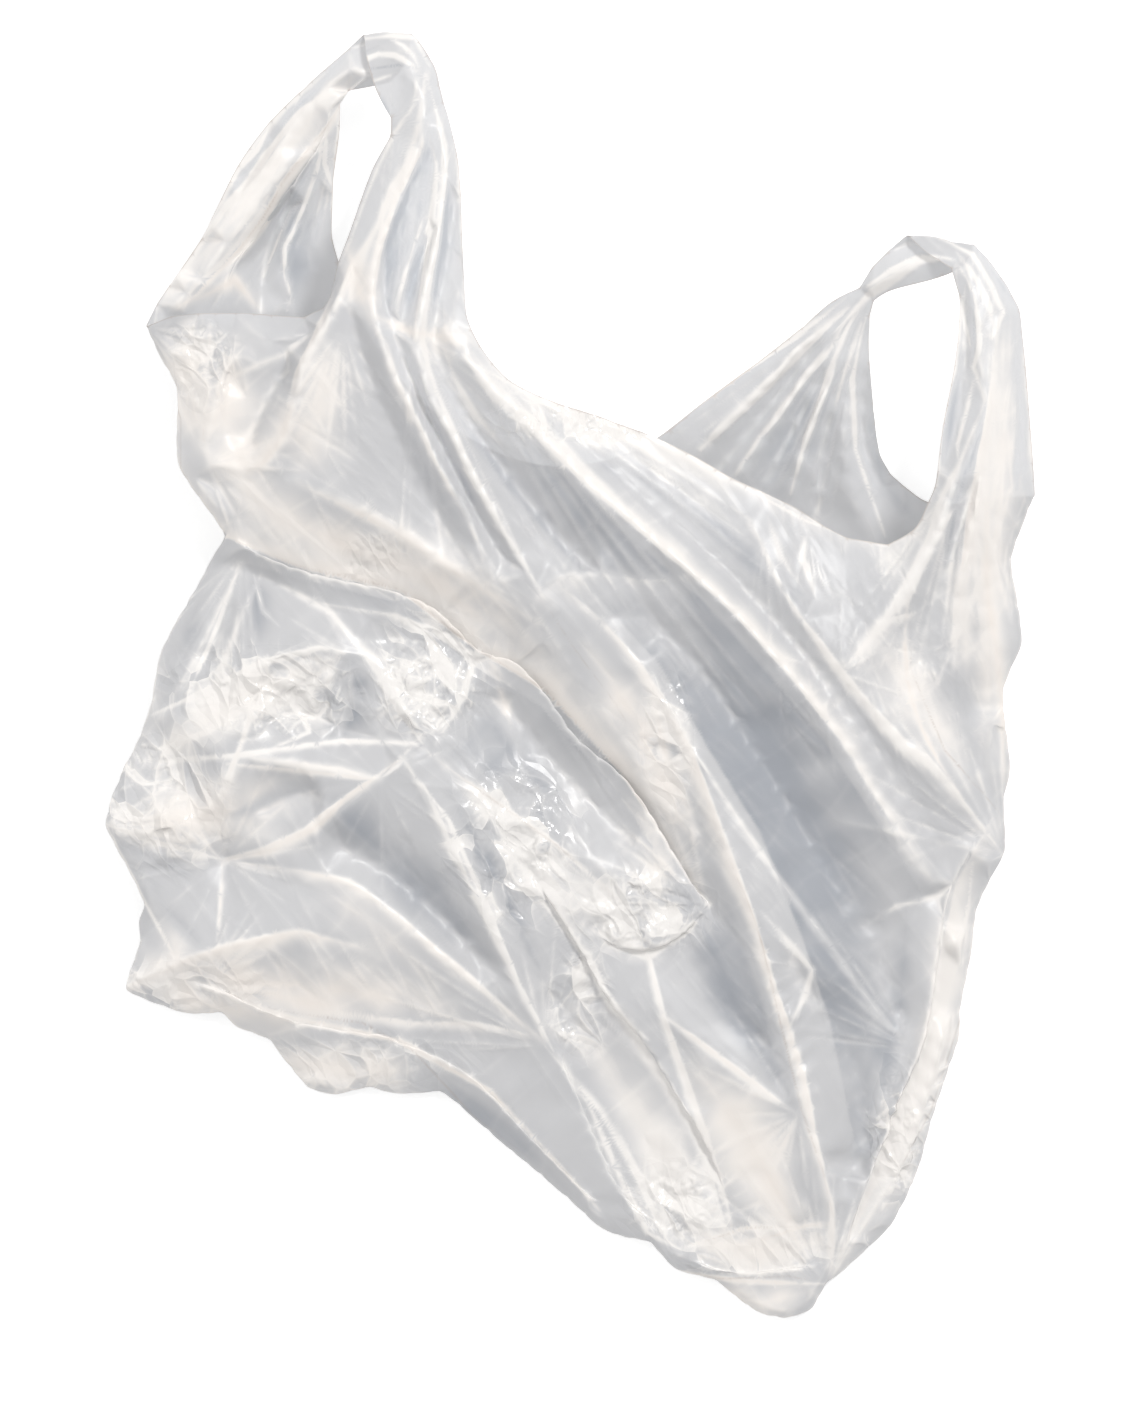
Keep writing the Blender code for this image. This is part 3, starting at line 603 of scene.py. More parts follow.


# Strokes along the folds: points, width to the right, width to the left, tone, warmth. Pale strokes mark
# doubled film and also paint highlights on lit fold faces; dark strokes mark single film and also paint the
# shade on the far sides of folds
BANDS: tuple[Band, ...] = (
    # Left handle, front strap
    Band(((420, 70), (416, 110), (398, 134), (380, 170), (366, 205), (352, 245), (342, 268)), 4, 4, 0.7),
    Band(((426, 80), (420, 126), (410, 170), (392, 196), (382, 226), (362, 260), (344, 296), (330, 330)),
         13, 7, 0.9, 0.3),
    Band(((430, 130), (420, 162), (398, 202), (382, 254), (376, 290), (376, 316)), 5, 16, 0.9, 0.5),
    Band(((428, 158), (408, 200), (392, 246), (387, 300), (390, 318)), 15, 8, -1.6),
    Band(((430, 210), (420, 238), (408, 274), (400, 314)), 4, 6, 0.8),
    Band(((428, 242), (416, 280), (406, 320)), 10, 8, -1.6),
    Band(((430, 140), (438, 170), (436, 200), (428, 260), (420, 310), (416, 338)), 5, 6, 1.2),
    Band(((428, 80), (446, 150), (446, 190), (438, 250), (428, 300), (424, 345), (430, 372), (445, 417)),
          5, 7, 1.2),
    Band(((449, 186), (443, 250), (434, 310)), 17, 5, -1.5),
    Band(((452, 120), (460, 150), (465, 250), (466, 315)), 4, 6, 0.8),
    Band(((377, 320), (415, 337), (465, 342)), 10, 12, 0.5, 0.9),
    Band(((375, 327), (390, 350), (400, 385), (415, 417), (440, 470), (480, 545)), 5, 14, 0.7, 0.3),
    Band(((420, 352), (432, 382), (447, 417), (470, 470), (500, 525), (540, 590)), 5, 9, 0.9),
    Band(((447, 355), (455, 380), (477, 417), (510, 460)), 5, 6, 0.7),
    Band(((460, 340), (475, 370), (497, 402), (550, 450)), 5, 6, 0.7),
    Band(((410, 360), (424, 400), (452, 460), (482, 520), (510, 565)), 7, 7, -0.8),
    Band(((440, 370), (462, 420), (500, 475), (545, 530), (590, 580)), 20, 9, -0.8),
    # Left handle, top
    Band(((332, 76), (360, 66), (380, 58), (396, 60), (414, 70), (420, 82)), 4, 6, 1.0),
    Band(((352, 84), (366, 74), (384, 72), (400, 70), (418, 74)), 3, 3, -0.6),
    Band(((356, 90), (380, 84), (398, 78)), 4, 4, 0.8),
    Band(((364, 43), (390, 40), (416, 42), (430, 70)), 5, 5, 0.9),
    Band(((392, 44), (404, 50), (414, 60), (420, 72)), 4, 4, 0.9),
    Band(((340, 80), (362, 58), (380, 50)), 3, 4, -0.4),
    Band(((376, 95), (386, 112), (394, 130)), 9, 9, -0.9),
    Band(((376, 95), (386, 112), (394, 130)), 9, 9, -0.9, 0.0, Layer.LOWER),
    # Left side fold and web
    Band(((337, 290), (322, 325), (310, 352), (298, 375), (288, 417)), 18, 3, 0.9, 0.3),
    Band(((230, 380), (260, 367), (285, 357), (317, 335)), 6, 6, 0.6),
    Band(((298, 400), (285, 440), (265, 465), (230, 480)), 10, 26, 0.6, 0.9),
    Band(((212, 330), (208, 380), (205, 440), (212, 466)), 8, 8, 0.5, 0.5),
    Band(((345, 370), (352, 420), (380, 470), (420, 520)), 26, 22, -0.25),
    # Left handle, back strap and the inside of the loop
    Band(((332, 98), (304, 112), (294, 124), (264, 164), (254, 182), (226, 212), (214, 228), (190, 262)),
         3, 8, 1.5, 0.0, Layer.LOWER),
    Band(((350, 94), (328, 130), (308, 154), (284, 186), (264, 220), (240, 252), (216, 276), (198, 296),
          (180, 308)), 12, 3, 1.2, 1.0, Layer.LOWER),
    Band(((270, 200), (260, 220), (240, 246), (222, 266), (202, 284), (188, 298)),
          3, 5, 1.2, 0.0, Layer.LOWER),
    Band(((292, 146), (284, 158), (264, 190), (248, 222), (232, 242)), 3, 5, 1.1, 0.0, Layer.LOWER),
    Band(((318, 102), (300, 130), (284, 160)), 8, 8, 0.9, 0.3, Layer.LOWER),
    Band(((336, 70), (316, 94), (292, 116), (268, 150), (238, 184), (228, 206)),
          11, 7, -0.9, 0.0, Layer.LOWER),
    Band(((272, 124), (258, 152), (240, 172)), 4, 3, 0.9, 0.0, Layer.LOWER),
    Band(((330, 74), (300, 98), (268, 130), (240, 168), (222, 204), (200, 244), (165, 298)), 5, 5, 0.7, 0.0,
         Layer.LOWER),
    Band(((200, 250), (180, 280), (160, 308)), 14, 14, 0.9, 0.0, Layer.LOWER),
    Band(((178, 308), (208, 296), (236, 282), (262, 312)), 14, 14, 0.5, 1.0, Layer.LOWER),
    Band(((324, 142), (320, 170), (310, 196), (294, 234), (286, 248), (286, 276), (292, 298), (288, 312)),
         3, 5, 1.5, 0.0, Layer.LOWER),
    Band(((328, 130), (326, 166), (334, 190)), 3, 4, 1.2, 0.0, Layer.LOWER),
    Band(((310, 196), (292, 210), (280, 236), (264, 278)), 3, 3, 0.9, 0.0, Layer.LOWER),
    Band(((340, 110), (338, 160), (333, 210), (333, 245)), 3, 3, 1.2, 0.0, Layer.LOWER),
    Band(((312, 160), (292, 210), (296, 260), (296, 310)), 40, 34, -1.0, 0.0, Layer.LOWER),
    # Right handle, twist and fan
    Band(((845, 320), (867, 297), (900, 275), (920, 260), (950, 262)), 6, 9, 1.4, 0.0, Layer.LOWER),
    Band(((847, 310), (822, 332), (790, 365), (760, 395), (700, 450)), 5, 10, 1.4, 0.0, Layer.LOWER),
    Band(((847, 317), (830, 350), (800, 385), (775, 420), (760, 437), (735, 475)),
          5, 9, 1.2, 0.0, Layer.LOWER),
    Band(((852, 317), (835, 355), (820, 400), (805, 440), (790, 495)), 7, 7, 1.5, 0.0, Layer.LOWER),
    Band(((860, 325), (842, 380), (835, 410)), 5, 5, 0.8, 0.0, Layer.LOWER),
    Band(((865, 317), (857, 350), (852, 380), (855, 450), (885, 537)), 5, 6, 1.2, 0.0, Layer.LOWER),
    Band(((845, 300), (800, 335), (740, 375), (680, 420)), 3, 9, 0.9, 0.0, Layer.LOWER),
    Band(((850, 330), (800, 420), (760, 500)), 70, 70, -0.75, 0.0, Layer.LOWER),
    Band(((870, 400), (880, 480), (915, 520)), 20, 40, -0.7, 0.0, Layer.LOWER),
    Band(((847, 310), (822, 332), (790, 365)), 4, 6, 1.3),
    Band(((847, 317), (830, 350), (812, 372)), 4, 5, 1.2),
    Band(((852, 317), (840, 345), (830, 372)), 5, 5, 1.4),
    Band(((865, 317), (857, 350), (852, 372)), 4, 5, 1.2),
    Band(((850, 325), (842, 350), (832, 378)), 44, 40, -0.8),
    # Right handle, front strap
    Band(((866, 288), (890, 272), (914, 260), (934, 260), (952, 263)), 4, 7, 1.1),
    Band(((866, 288), (890, 272), (914, 260), (934, 260), (952, 263)), 4, 7, 1.3, 0.0, Layer.LOWER),
    Band(((888, 258), (902, 250), (916, 248)), 6, 6, -0.7),
    Band(((866, 282), (886, 260)), 5, 5, -0.5),
    Band(((970, 246), (996, 284), (1016, 314)), 7, 9, -0.5),
    Band(((938, 242), (970, 258), (988, 288), (1000, 316), (988, 342)), 4, 6, 1.1),
    Band(((954, 256), (974, 284), (986, 310), (990, 334)), 4, 6, 0.9, 0.4),
    Band(((958, 274), (968, 290), (970, 314), (970, 342), (968, 366)), 6, 5, -0.9),
    Band(((954, 266), (970, 296), (973, 322), (976, 346), (970, 370), (980, 404)), 4, 4, 1.1),
    Band(((962, 288), (958, 316), (968, 352)), 3, 3, 0.9),
    Band(((952, 270), (957, 320), (952, 366), (946, 396), (939, 430), (934, 488)), 4, 4, 1.0),
    Band(((958, 370), (950, 410), (944, 450), (942, 466)), 9, 9, -0.8),
    Band(((970, 382), (964, 410), (954, 446), (954, 466)), 4, 4, 1.0),
    Band(((978, 414), (974, 440), (960, 480), (950, 520), (942, 566)), 10, 7, -0.9),
    Band(((980, 408), (968, 436), (954, 470), (940, 496), (930, 530), (920, 558), (890, 610)), 4, 6, 1.0),
    Band(((990, 358), (984, 410), (974, 460), (966, 510), (960, 558), (948, 640)), 34, 3, 0.8, 0.6),
    Band(((1014, 436), (1014, 490)), 6, 6, -0.6),
    Band(((1020, 340), (1028, 420), (1031, 494)), 4, 6, 0.6, 0.4),
    Band(((1012, 340), (1018, 420), (1022, 490)), 7, 9, -0.5),
    # Front panel, the long ridge with a painted highlight along it and painted shade on its dark side
    Band(((455, 345), (480, 378), (550, 450), (600, 497), (650, 540), (700, 582), (735, 615), (780, 665),
          (840, 740), (870, 790), (930, 880)), 20, 5, 0.95, 0.4),
    Band(((490, 400), (560, 475), (640, 550), (700, 602), (760, 670), (820, 740), (860, 800), (915, 885)),
         4, 46, -0.6),
    Band(((752, 528), (780, 590), (800, 620), (840, 672), (870, 710), (900, 740), (930, 765), (1003, 855)),
         5, 16, 0.9, 0.2),
    Band(((640, 470), (720, 530), (780, 600), (840, 690), (890, 760), (940, 830)), 10, 10, -0.45),
    Band(((620, 445), (700, 500), (750, 545)), 9, 9, 0.3),
    # Front panel, the ridge down to the bottom corner and the dark panel beside it
    Band(((565, 590), (600, 620), (640, 665), (690, 750), (720, 830), (750, 910), (775, 990), (800, 1060),
          (818, 1150), (834, 1215), (832, 1270)), 4, 20, 0.9, 0.7),
    Band(((600, 600), (660, 665), (710, 750), (760, 830), (800, 930), (830, 1020), (850, 1120)),
          110, 4, -0.95),
    Band(((700, 760), (725, 800), (780, 880), (830, 945), (870, 1003), (905, 1042)), 6, 9, 0.8),
    Band(((537, 600), (560, 580), (600, 576), (640, 582), (680, 580), (700, 565)), 10, 30, 0.55),
    Band(((650, 690), (665, 760), (695, 830)), 12, 9, 0.7, 0.7),
    Band(((760, 910), (795, 950), (811, 968), (805, 990), (785, 1030)), 6, 6, 0.9),
    Band(((868, 922), (895, 905), (945, 893)), 6, 7, 0.7),
    Band(((467, 320), (507, 384), (600, 420), (700, 462), (760, 493), (845, 539), (910, 533)),
          4, 26, 0.6, 0.2),
    Band(((940, 500), (930, 540), (900, 600), (865, 640), (838, 673)), 9, 12, 0.9),
    Band(((905, 600), (902, 640), (905, 680), (915, 720), (935, 760), (960, 798)), 5, 6, 0.5, 1.0),
    Band(((982, 480), (983, 560), (985, 600), (992, 640), (998, 680), (1002, 700), (1003, 780)),
          16, 14, 0.6, 1.0),
    Band(((765, 515), (780, 560), (800, 590)), 8, 8, 0.6),
    Band(((805, 525), (800, 560), (815, 600)), 6, 6, 0.8),
    Band(((850, 560), (860, 600), (850, 640)), 30, 24, -0.3),
    # The overlap on the left
    Band(((178, 466), (226, 537), (300, 567), (400, 590), (480, 651), (545, 690), (620, 770), (680, 862),
          (705, 903)), 34, 3, 0.9, 0.9),
    Band(((250, 565), (300, 580), (400, 604), (470, 665), (540, 706), (610, 784), (670, 874)), 2, 24, -0.5),
    Band(((300, 485), (400, 535), (450, 570), (540, 625)), 14, 10, 0.6, 0.8),
    Band(((600, 930), (648, 955), (690, 925), (705, 903)), 9, 7, 0.9),
    Band(((440, 690), (500, 730), (560, 790)), 34, 34, -0.6),
    # Crumpled band and the small flap
    Band(((435, 755), (480, 795), (520, 850), (560, 910), (585, 955)), 16, 12, 0.8),
    Band(((545, 1045), (600, 1110), (640, 1180), (665, 1238)), 8, 5, 0.9),
    Band(((585, 955), (620, 1010), (665, 1080), (700, 1135), (728, 1240)), 4, 12, 0.9),
    Band(((575, 1010), (620, 1090), (660, 1150), (690, 1220)), 30, 30, 0.45, 0.3),
    Band(((590, 960), (600, 1020), (590, 1060)), 14, 14, -0.4),
    Band(((660, 1012), (750, 1080), (797, 1112)), 6, 7, 0.8),
    Band(((797, 1112), (780, 1150), (755, 1210)), 6, 6, 0.7, 0.5),
    Band(((700, 960), (730, 1010), (765, 1060)), 24, 24, -0.5),
    Band(((675, 1270), (740, 1280), (827, 1283)), 4, 5, 0.8, 0.8),
    Band(((700, 1245), (760, 1240), (800, 1225), (837, 1220)), 5, 5, 0.7, 0.8),
    Band(((740, 1120), (780, 1200), (800, 1250)), 30, 34, 0.4, 0.9),
    # Left lobe
    Band(((130, 985), (180, 962), (230, 945), (300, 930), (360, 945)), 6, 22, 0.8, 0.9),
    Band(((203, 985), (280, 1015), (400, 1040), (490, 1090), (560, 1165), (600, 1210)), 5, 5, 0.8, 0.9),
    Band(((225, 860), (300, 870), (350, 880), (400, 915), (480, 985), (545, 1040)), 6, 16, 0.7, 0.6),
    Band(((382, 778), (405, 760), (430, 795), (450, 840), (500, 945), (545, 1040)), 5, 9, 0.8),
    Band(((225, 860), (270, 850), (318, 825), (345, 800), (382, 778)), 7, 12, 0.8, 0.9),
    Band(((250, 757), (300, 765), (340, 770), (382, 778)), 9, 9, 0.8, 0.3),
    Band(((243, 565), (215, 620), (180, 690)), 7, 7, 0.5),
    Band(((262, 575), (240, 625), (215, 688)), 7, 7, 0.6),
    Band(((282, 585), (330, 612), (370, 655), (395, 695), (428, 745)), 8, 8, 0.8),
    Band(((345, 660), (335, 700), (332, 740)), 16, 12, -0.6),
    Band(((350, 820), (400, 850), (440, 900), (480, 960)), 26, 20, -0.45),
    Band(((480, 830), (510, 900), (540, 970)), 16, 16, -0.5),
    Band(((200, 620), (185, 660)), 16, 16, -0.35),
    Band(((150, 870), (175, 930)), 20, 16, -0.3),
    Band(((430, 1065), (500, 1125), (570, 1190)), 12, 20, -0.35),
    # Left lobe, finer folds
    Band(((242, 563), (223, 615), (194, 685)), 4, 5, 0.9),
    Band(((255, 575), (264, 610), (281, 627)), 4, 4, 0.8),
    Band(((287, 586), (334, 615), (357, 644), (380, 673), (398, 708), (432, 755)), 6, 3, 1.1),
    Band(((322, 604), (392, 615), (438, 633), (476, 656), (467, 691), (438, 743)), 5, 7, 0.9),
    Band(((154, 714), (206, 691), (264, 662), (322, 647), (345, 653)), 3, 7, 1.1),
    Band(((160, 749), (206, 732), (258, 697), (264, 679)), 3, 6, 0.9),
    Band(((258, 691), (247, 732), (232, 772), (209, 830)), 6, 4, 0.9, 0.3),
    Band(((293, 697), (311, 732), (258, 755)), 4, 4, 0.8),
    Band(((160, 761), (235, 755), (322, 743), (345, 740), (415, 743), (432, 755)), 4, 7, 1.0),
    Band(((229, 763), (322, 772), (374, 778), (403, 758)), 3, 6, 0.9, 0.5),
    Band(((223, 859), (264, 848), (305, 830), (340, 801), (374, 778), (403, 758)), 4, 9, 1.0, 0.7),
    Band(((235, 815), (281, 795), (340, 780)), 16, 14, -0.5),
    Band(((107, 824), (160, 842), (223, 859)), 3, 4, 0.9),
    Band(((165, 813), (194, 824), (218, 856)), 4, 4, 0.9),
    Band(((223, 862), (221, 911), (218, 940)), 5, 4, 0.7, 0.5),
    Band(((107, 824), (148, 906), (177, 958)), 3, 4, 0.8),
    Band(((125, 846), (160, 860), (196, 878)), 12, 14, -0.7),
    Band(((158, 900), (185, 925), (204, 946)), 14, 14, -0.6),
    Band(((328, 1010), (415, 1022), (479, 1022), (528, 1033)), 3, 12, 0.8, 0.3),
    Band(((432, 755), (496, 801), (554, 842), (620, 900)), 4, 4, 0.8, 0.4),
    Band(((403, 758), (450, 819), (490, 911), (519, 981), (554, 1051)), 3, 6, 1.1),
    Band(((446, 784), (490, 865), (543, 975)), 16, 14, -0.8),
    Band(((334, 800), (415, 888), (461, 935)), 34, 24, -0.5),
    Band(((490, 656), (508, 714), (519, 761)), 16, 14, 0.4, 0.6),
    # Front, finer folds
    Band(((500, 380), (602, 417), (663, 444), (731, 482), (806, 523), (881, 547), (915, 536)), 3, 5, 0.9),
    Band(((840, 669), (862, 645), (881, 621), (908, 614)), 4, 14, 1.0),
    Band(((976, 478), (940, 525), (908, 574), (854, 669)), 5, 6, 0.8),
    Band(((1007, 492), (990, 550), (969, 601), (935, 683)), 5, 6, 0.7),
    Band(((930, 660), (960, 700), (975, 770)), 26, 26, -0.4),
    Band(((864, 800), (907, 854), (940, 892)), 12, 12, 0.4),
    # Bottom, finer folds
    Band(((675, 870), (718, 962), (745, 1027), (790, 1100)), 24, 30, -0.8),
    Band(((667, 1016), (718, 1054), (794, 1111)), 4, 8, 1.0, 0.6),
    Band(((594, 930), (648, 951), (664, 1016), (702, 1124), (726, 1200), (732, 1227)), 4, 9, 1.1, 0.2),
    Band(((540, 897), (589, 957), (610, 1005), (648, 1038)), 5, 6, 1.0),
    Band(((562, 1070), (589, 1103), (626, 1189), (648, 1232), (680, 1248)), 4, 6, 1.0),
    Band(((594, 1016), (626, 1081), (670, 1146)), 20, 20, -0.35),
    Band(((680, 1248), (745, 1227), (832, 1224)), 3, 5, 0.9, 0.6),
    Band(((972, 843), (967, 908), (940, 1016), (918, 1081), (886, 1146), (837, 1264)), 7, 3, 1.1),
    # Right side fold
    Band(((985, 825), (955, 885), (938, 970), (925, 1050), (897, 1105), (870, 1180), (840, 1250),
          (828, 1280)),
         44, 4, 0.8, 0.3),
    Band(((905, 1060), (890, 1110), (860, 1180)), 4, 24, -0.4),
)

# Thin brownish lines along hems and folded edges
EDGE_LINES: tuple[Band, ...] = (
    Band(((178, 466), (226, 537), (300, 567), (400, 590), (480, 651), (545, 690), (620, 770), (680, 862),
          (705, 903)), 4, 4, 0.7),
    Band(((148, 328), (165, 372), (182, 420), (182, 470), (215, 530), (260, 556)), 3, 3, 0.7),
    Band(((212, 330), (208, 380), (205, 440), (222, 490), (262, 540), (300, 560)), 4, 4, 0.4),
    Band(((678, 800), (724, 849), (756, 924), (778, 1016), (799, 1103), (821, 1167), (834, 1221),
          (826, 1281)),
         3, 3, 0.8),
    Band(((500, 587), (545, 604), (575, 650), (616, 705), (660, 780)), 3, 3, 0.6),
    Band(((908, 614), (908, 669), (942, 750), (1003, 818), (1000, 862)), 3, 3, 0.8),
    Band(((206, 987), (281, 1010), (363, 1022), (415, 1051), (473, 1115), (560, 1180)), 3, 3, 0.8),
    Band(((125, 990), (160, 1010), (206, 1016), (240, 1030), (300, 1060)), 3, 3, 0.8),
    Band(((432, 755), (496, 801), (554, 842), (600, 880)), 3, 3, 0.6),
    Band(((680, 1248), (745, 1227), (832, 1224)), 3, 3, 0.6),
    Band(((675, 1267), (718, 1278), (788, 1275), (826, 1283)), 3, 3, 0.8),
    Band(((1003, 700), (1005, 780), (1003, 855), (985, 890), (962, 1010), (930, 1110), (880, 1200),
          (828, 1283)),
         3, 3, 0.7),
    Band(((350, 94), (328, 130), (308, 154), (284, 186), (264, 220), (240, 252), (216, 276)), 3, 3, 0.7, 0.0,
         Layer.LOWER),
    Band(((430, 130), (420, 162), (398, 202), (382, 254), (376, 290)), 3, 3, 0.4),
    Band(((450, 150), (447, 220), (438, 280), (430, 330)), 3, 3, 0.4),
    Band(((1018, 330), (1028, 420), (1033, 497), (1010, 560), (1002, 640), (1022, 620)), 3, 3, 0.5),
)

# Wide areas where layers of film lie together and look pale, and single ones that look darker; they also
# paint light and shade on broad panels, lit ones paler and shaded ones darker
AREAS: tuple[Band, ...] = (
    Band(((235, 350), (225, 420), (260, 500)), 70, 60, 0.55, 0.8),
    Band(((250, 500), (340, 545), (430, 580), (520, 650)), 44, 30, 0.6, 0.9),
    Band(((150, 960), (250, 980), (350, 990), (450, 1010)), 50, 50, 0.4, 0.9),
    Band(((130, 830), (230, 810), (320, 790)), 50, 50, 0.4, 0.8),
    Band(((150, 760), (240, 700), (330, 660)), 36, 40, 0.45, 0.3),
    Band(((280, 1060), (350, 1070), (410, 1070)), 40, 40, 0.4, 0.8),
    Band(((300, 870), (380, 930), (450, 1000)), 34, 46, 0.25, 0.5),
    Band(((400, 650), (440, 690), (470, 660)), 40, 40, 0.4),
    Band(((480, 800), (540, 860), (620, 920), (680, 905)), 34, 34, 0.45),
    Band(((600, 1040), (650, 1120), (690, 1210)), 46, 46, 0.5, 0.3),
    Band(((690, 1240), (760, 1250), (820, 1240)), 40, 40, 0.55, 0.6),
    Band(((700, 1075), (750, 1140), (770, 1210)), 56, 56, 0.75, 0.8),
    Band(((600, 450), (700, 500), (780, 560)), 30, 20, 0.25),
    Band(((1000, 340), (1000, 440), (990, 560), (985, 680), (975, 780)), 46, 40, 0.5, 0.5),
    Band(((870, 640), (920, 700), (970, 780)), 44, 40, 0.5, 0.4),
    Band(((965, 850), (945, 960), (920, 1080), (880, 1190)), 50, 40, 0.4, 0.4),
    Band(((350, 250), (360, 290), (372, 325)), 30, 26, 0.5, 0.9),
    Band(((590, 650), (640, 730), (690, 840)), 34, 40, 0.45, 0.8),
    Band(((560, 410), (640, 445), (720, 490)), 14, 36, 0.3),
    Band(((180, 600), (160, 680), (140, 760)), 44, 30, 0.2),
    Band(((700, 620), (760, 740), (820, 860), (860, 960)), 90, 60, -0.9),
    Band(((490, 450), (560, 530), (640, 600)), 40, 40, -0.3),
    Band(((800, 900), (850, 1000), (870, 1090)), 50, 40, -0.4),
    Band(((450, 740), (510, 780)), 50, 50, -0.5),
    Band(((500, 430), (600, 540), (680, 620)), 60, 50, -0.5),
    Band(((650, 480), (750, 560), (840, 650)), 40, 40, -0.4),
    Band(((870, 560), (880, 620)), 40, 40, -0.3),
    Band(((390, 400), (430, 460), (470, 540)), 34, 40, -0.45),
    Band(((430, 1080), (520, 1150)), 30, 40, -0.45),
    Band(((370, 850), (430, 900), (490, 960)), 50, 50, -0.55),
    Band(((200, 620), (180, 700)), 40, 30, -0.25),
    Band(((700, 950), (740, 1040)), 40, 40, -0.5),
    Band(((412, 200), (398, 260), (392, 310)), 20, 14, -0.5),
    Band(((255, 575), (262, 640)), 24, 24, -0.7),
    Band(((352, 660), (362, 700), (345, 735)), 26, 20, -0.9),
    Band(((330, 800), (380, 850)), 50, 40, -0.6),
    Band(((200, 600), (170, 700)), 30, 30, -0.4),
    Band(((330, 350), (320, 420), (300, 480)), 60, 50, 0.5, 0.6),
    Band(((240, 985), (300, 1000), (370, 1012)), 44, 40, 0.6, 0.9),
    Band(((300, 960), (400, 990), (480, 1030)), 40, 30, 0.35, 0.5),
    Band(((520, 450), (580, 500)), 36, 36, -0.5),
    Band(((500, 740), (545, 790), (560, 850)), 26, 26, -0.6),
    Band(((700, 1290), (760, 1302), (812, 1290)), 36, 36, 0.5, 0.6),
    Band(((700, 1290), (760, 1302), (812, 1290)), 36, 36, 0.5, 0.6, Layer.LOWER),
    Band(((860, 640), (900, 700), (950, 770)), 40, 40, 0.3, 0.3),
    Band(((400, 1090), (480, 1150), (560, 1200)), 20, 24, 0.2, 0.3),
    Band(((560, 1160), (470, 1100)), 30, 30, -0.3),
    Band(((380, 62), (330, 100), (280, 160), (225, 235), (175, 300)), 34, 40, 0.55, 0.35, Layer.LOWER),
    Band(((190, 330), (190, 400), (210, 460)), 50, 60, 0.5, 0.6),
    Band(((330, 470), (300, 440), (330, 400)), 50, 50, 0.35, 0.6),
    Band(((330, 520), (420, 560), (500, 620), (560, 680)), 50, 50, 0.35, 0.6),
    Band(((640, 800), (660, 860), (680, 900)), 40, 44, 0.35, 0.4),
    Band(((420, 340), (470, 345)), 30, 30, 0.3, 0.6),
    Band(((940, 470), (900, 540), (860, 600)), 40, 50, 0.4),
    Band(((450, 200), (445, 260), (440, 310)), 16, 12, -0.5),
    Band(((215, 440), (262, 505), (330, 550), (400, 590)), 50, 44, 0.6, 0.6),
    Band(((432, 90), (428, 170), (418, 240), (408, 320)), 20, 22, -0.6),
    Band(((715, 880), (745, 970), (785, 1090)), 50, 50, -0.55),
    Band(((905, 900), (900, 1000), (870, 1110), (845, 1190)), 36, 34, -0.6),
    Band(((165, 900), (190, 1000), (260, 1015), (350, 1020)), 36, 34, 0.5, 0.7),
    Band(((220, 780), (250, 830), (310, 850)), 38, 36, 0.4),
    Band(((560, 455), (640, 480), (690, 520)), 24, 30, -0.5),
    Band(((945, 560), (962, 620), (965, 690)), 26, 24, 0.45, 0.3),
)

# Pinches that wrinkles spread from. Angles are in degrees, 0 to the right and 90 down
FANS: tuple[Fan, ...] = (
    Fan((415, 335), 62, 70, 330, 16, 0.68, 12),
    Fan((455, 330), 46, 34, 520, 12, 0.74, 14),
    Fan((440, 170), 95, 16, 190, 7, 0.62, 8),
    Fan((345, 330), 100, 60, 150, 8, 0.62, 9),
    Fan((148, 328), 35, 70, 120, 7, 0.56, 8),
    Fan((210, 466), 20, 120, 110, 9, 0.56, 9),
    Fan((225, 860), 0, 360, 120, 14, 0.43, 7),
    Fan((382, 778), 90, 300, 140, 11, 0.43, 7),
    Fan((203, 985), -20, 110, 120, 10, 0.62, 9),
    Fan((105, 825), 0, 70, 110, 7, 0.56, 8),
    Fan((960, 470), 100, 60, 240, 12, 0.68, 10),
    Fan((838, 673), 45, 320, 90, 9, 0.43, 7),
    Fan((925, 655), 90, 300, 70, 8, 0.43, 7),
    Fan((765, 520), 80, 50, 140, 7, 0.62, 9),
    Fan((805, 530), 85, 40, 110, 6, 0.62, 8),
    Fan((705, 903), 200, 130, 150, 12, 0.68, 9),
    Fan((811, 968), 130, 220, 90, 7, 0.43, 7),
    Fan((912, 1048), 215, 70, 190, 8, 0.62, 10),
    Fan((797, 1112), 150, 200, 130, 10, 0.56, 9),
    Fan((545, 1045), 230, 120, 190, 12, 0.62, 10),
    Fan((665, 1238), -60, 120, 130, 10, 0.62, 9),
    Fan((827, 1283), -100, 90, 210, 12, 0.68, 10),
    Fan((1003, 855), 230, 90, 200, 9, 0.62, 10),
    Fan((352, 655), 130, 240, 90, 8, 0.43, 7),
    Fan((479, 652), 150, 160, 110, 9, 0.68, 8),
    Fan((245, 552), 112, 60, 190, 10, 0.62, 9),
    Fan((865, 300), 128, 62, 260, 18, 0.74, 9, Layer.LOWER),
    Fan((340, 130), 118, 40, 200, 9, 0.62, 8, Layer.LOWER),
)

# Places where the film bends softly
RELAXED: tuple[Patch, ...] = (
    Patch((842, 362), (34, 46), 0),
    Patch((228, 625), (34, 50), 0),
    Patch((700, 1020), (80, 80), 0),
    Patch((860, 1000), (60, 120), 0),
    Patch((900, 700), (60, 90), 0),
)

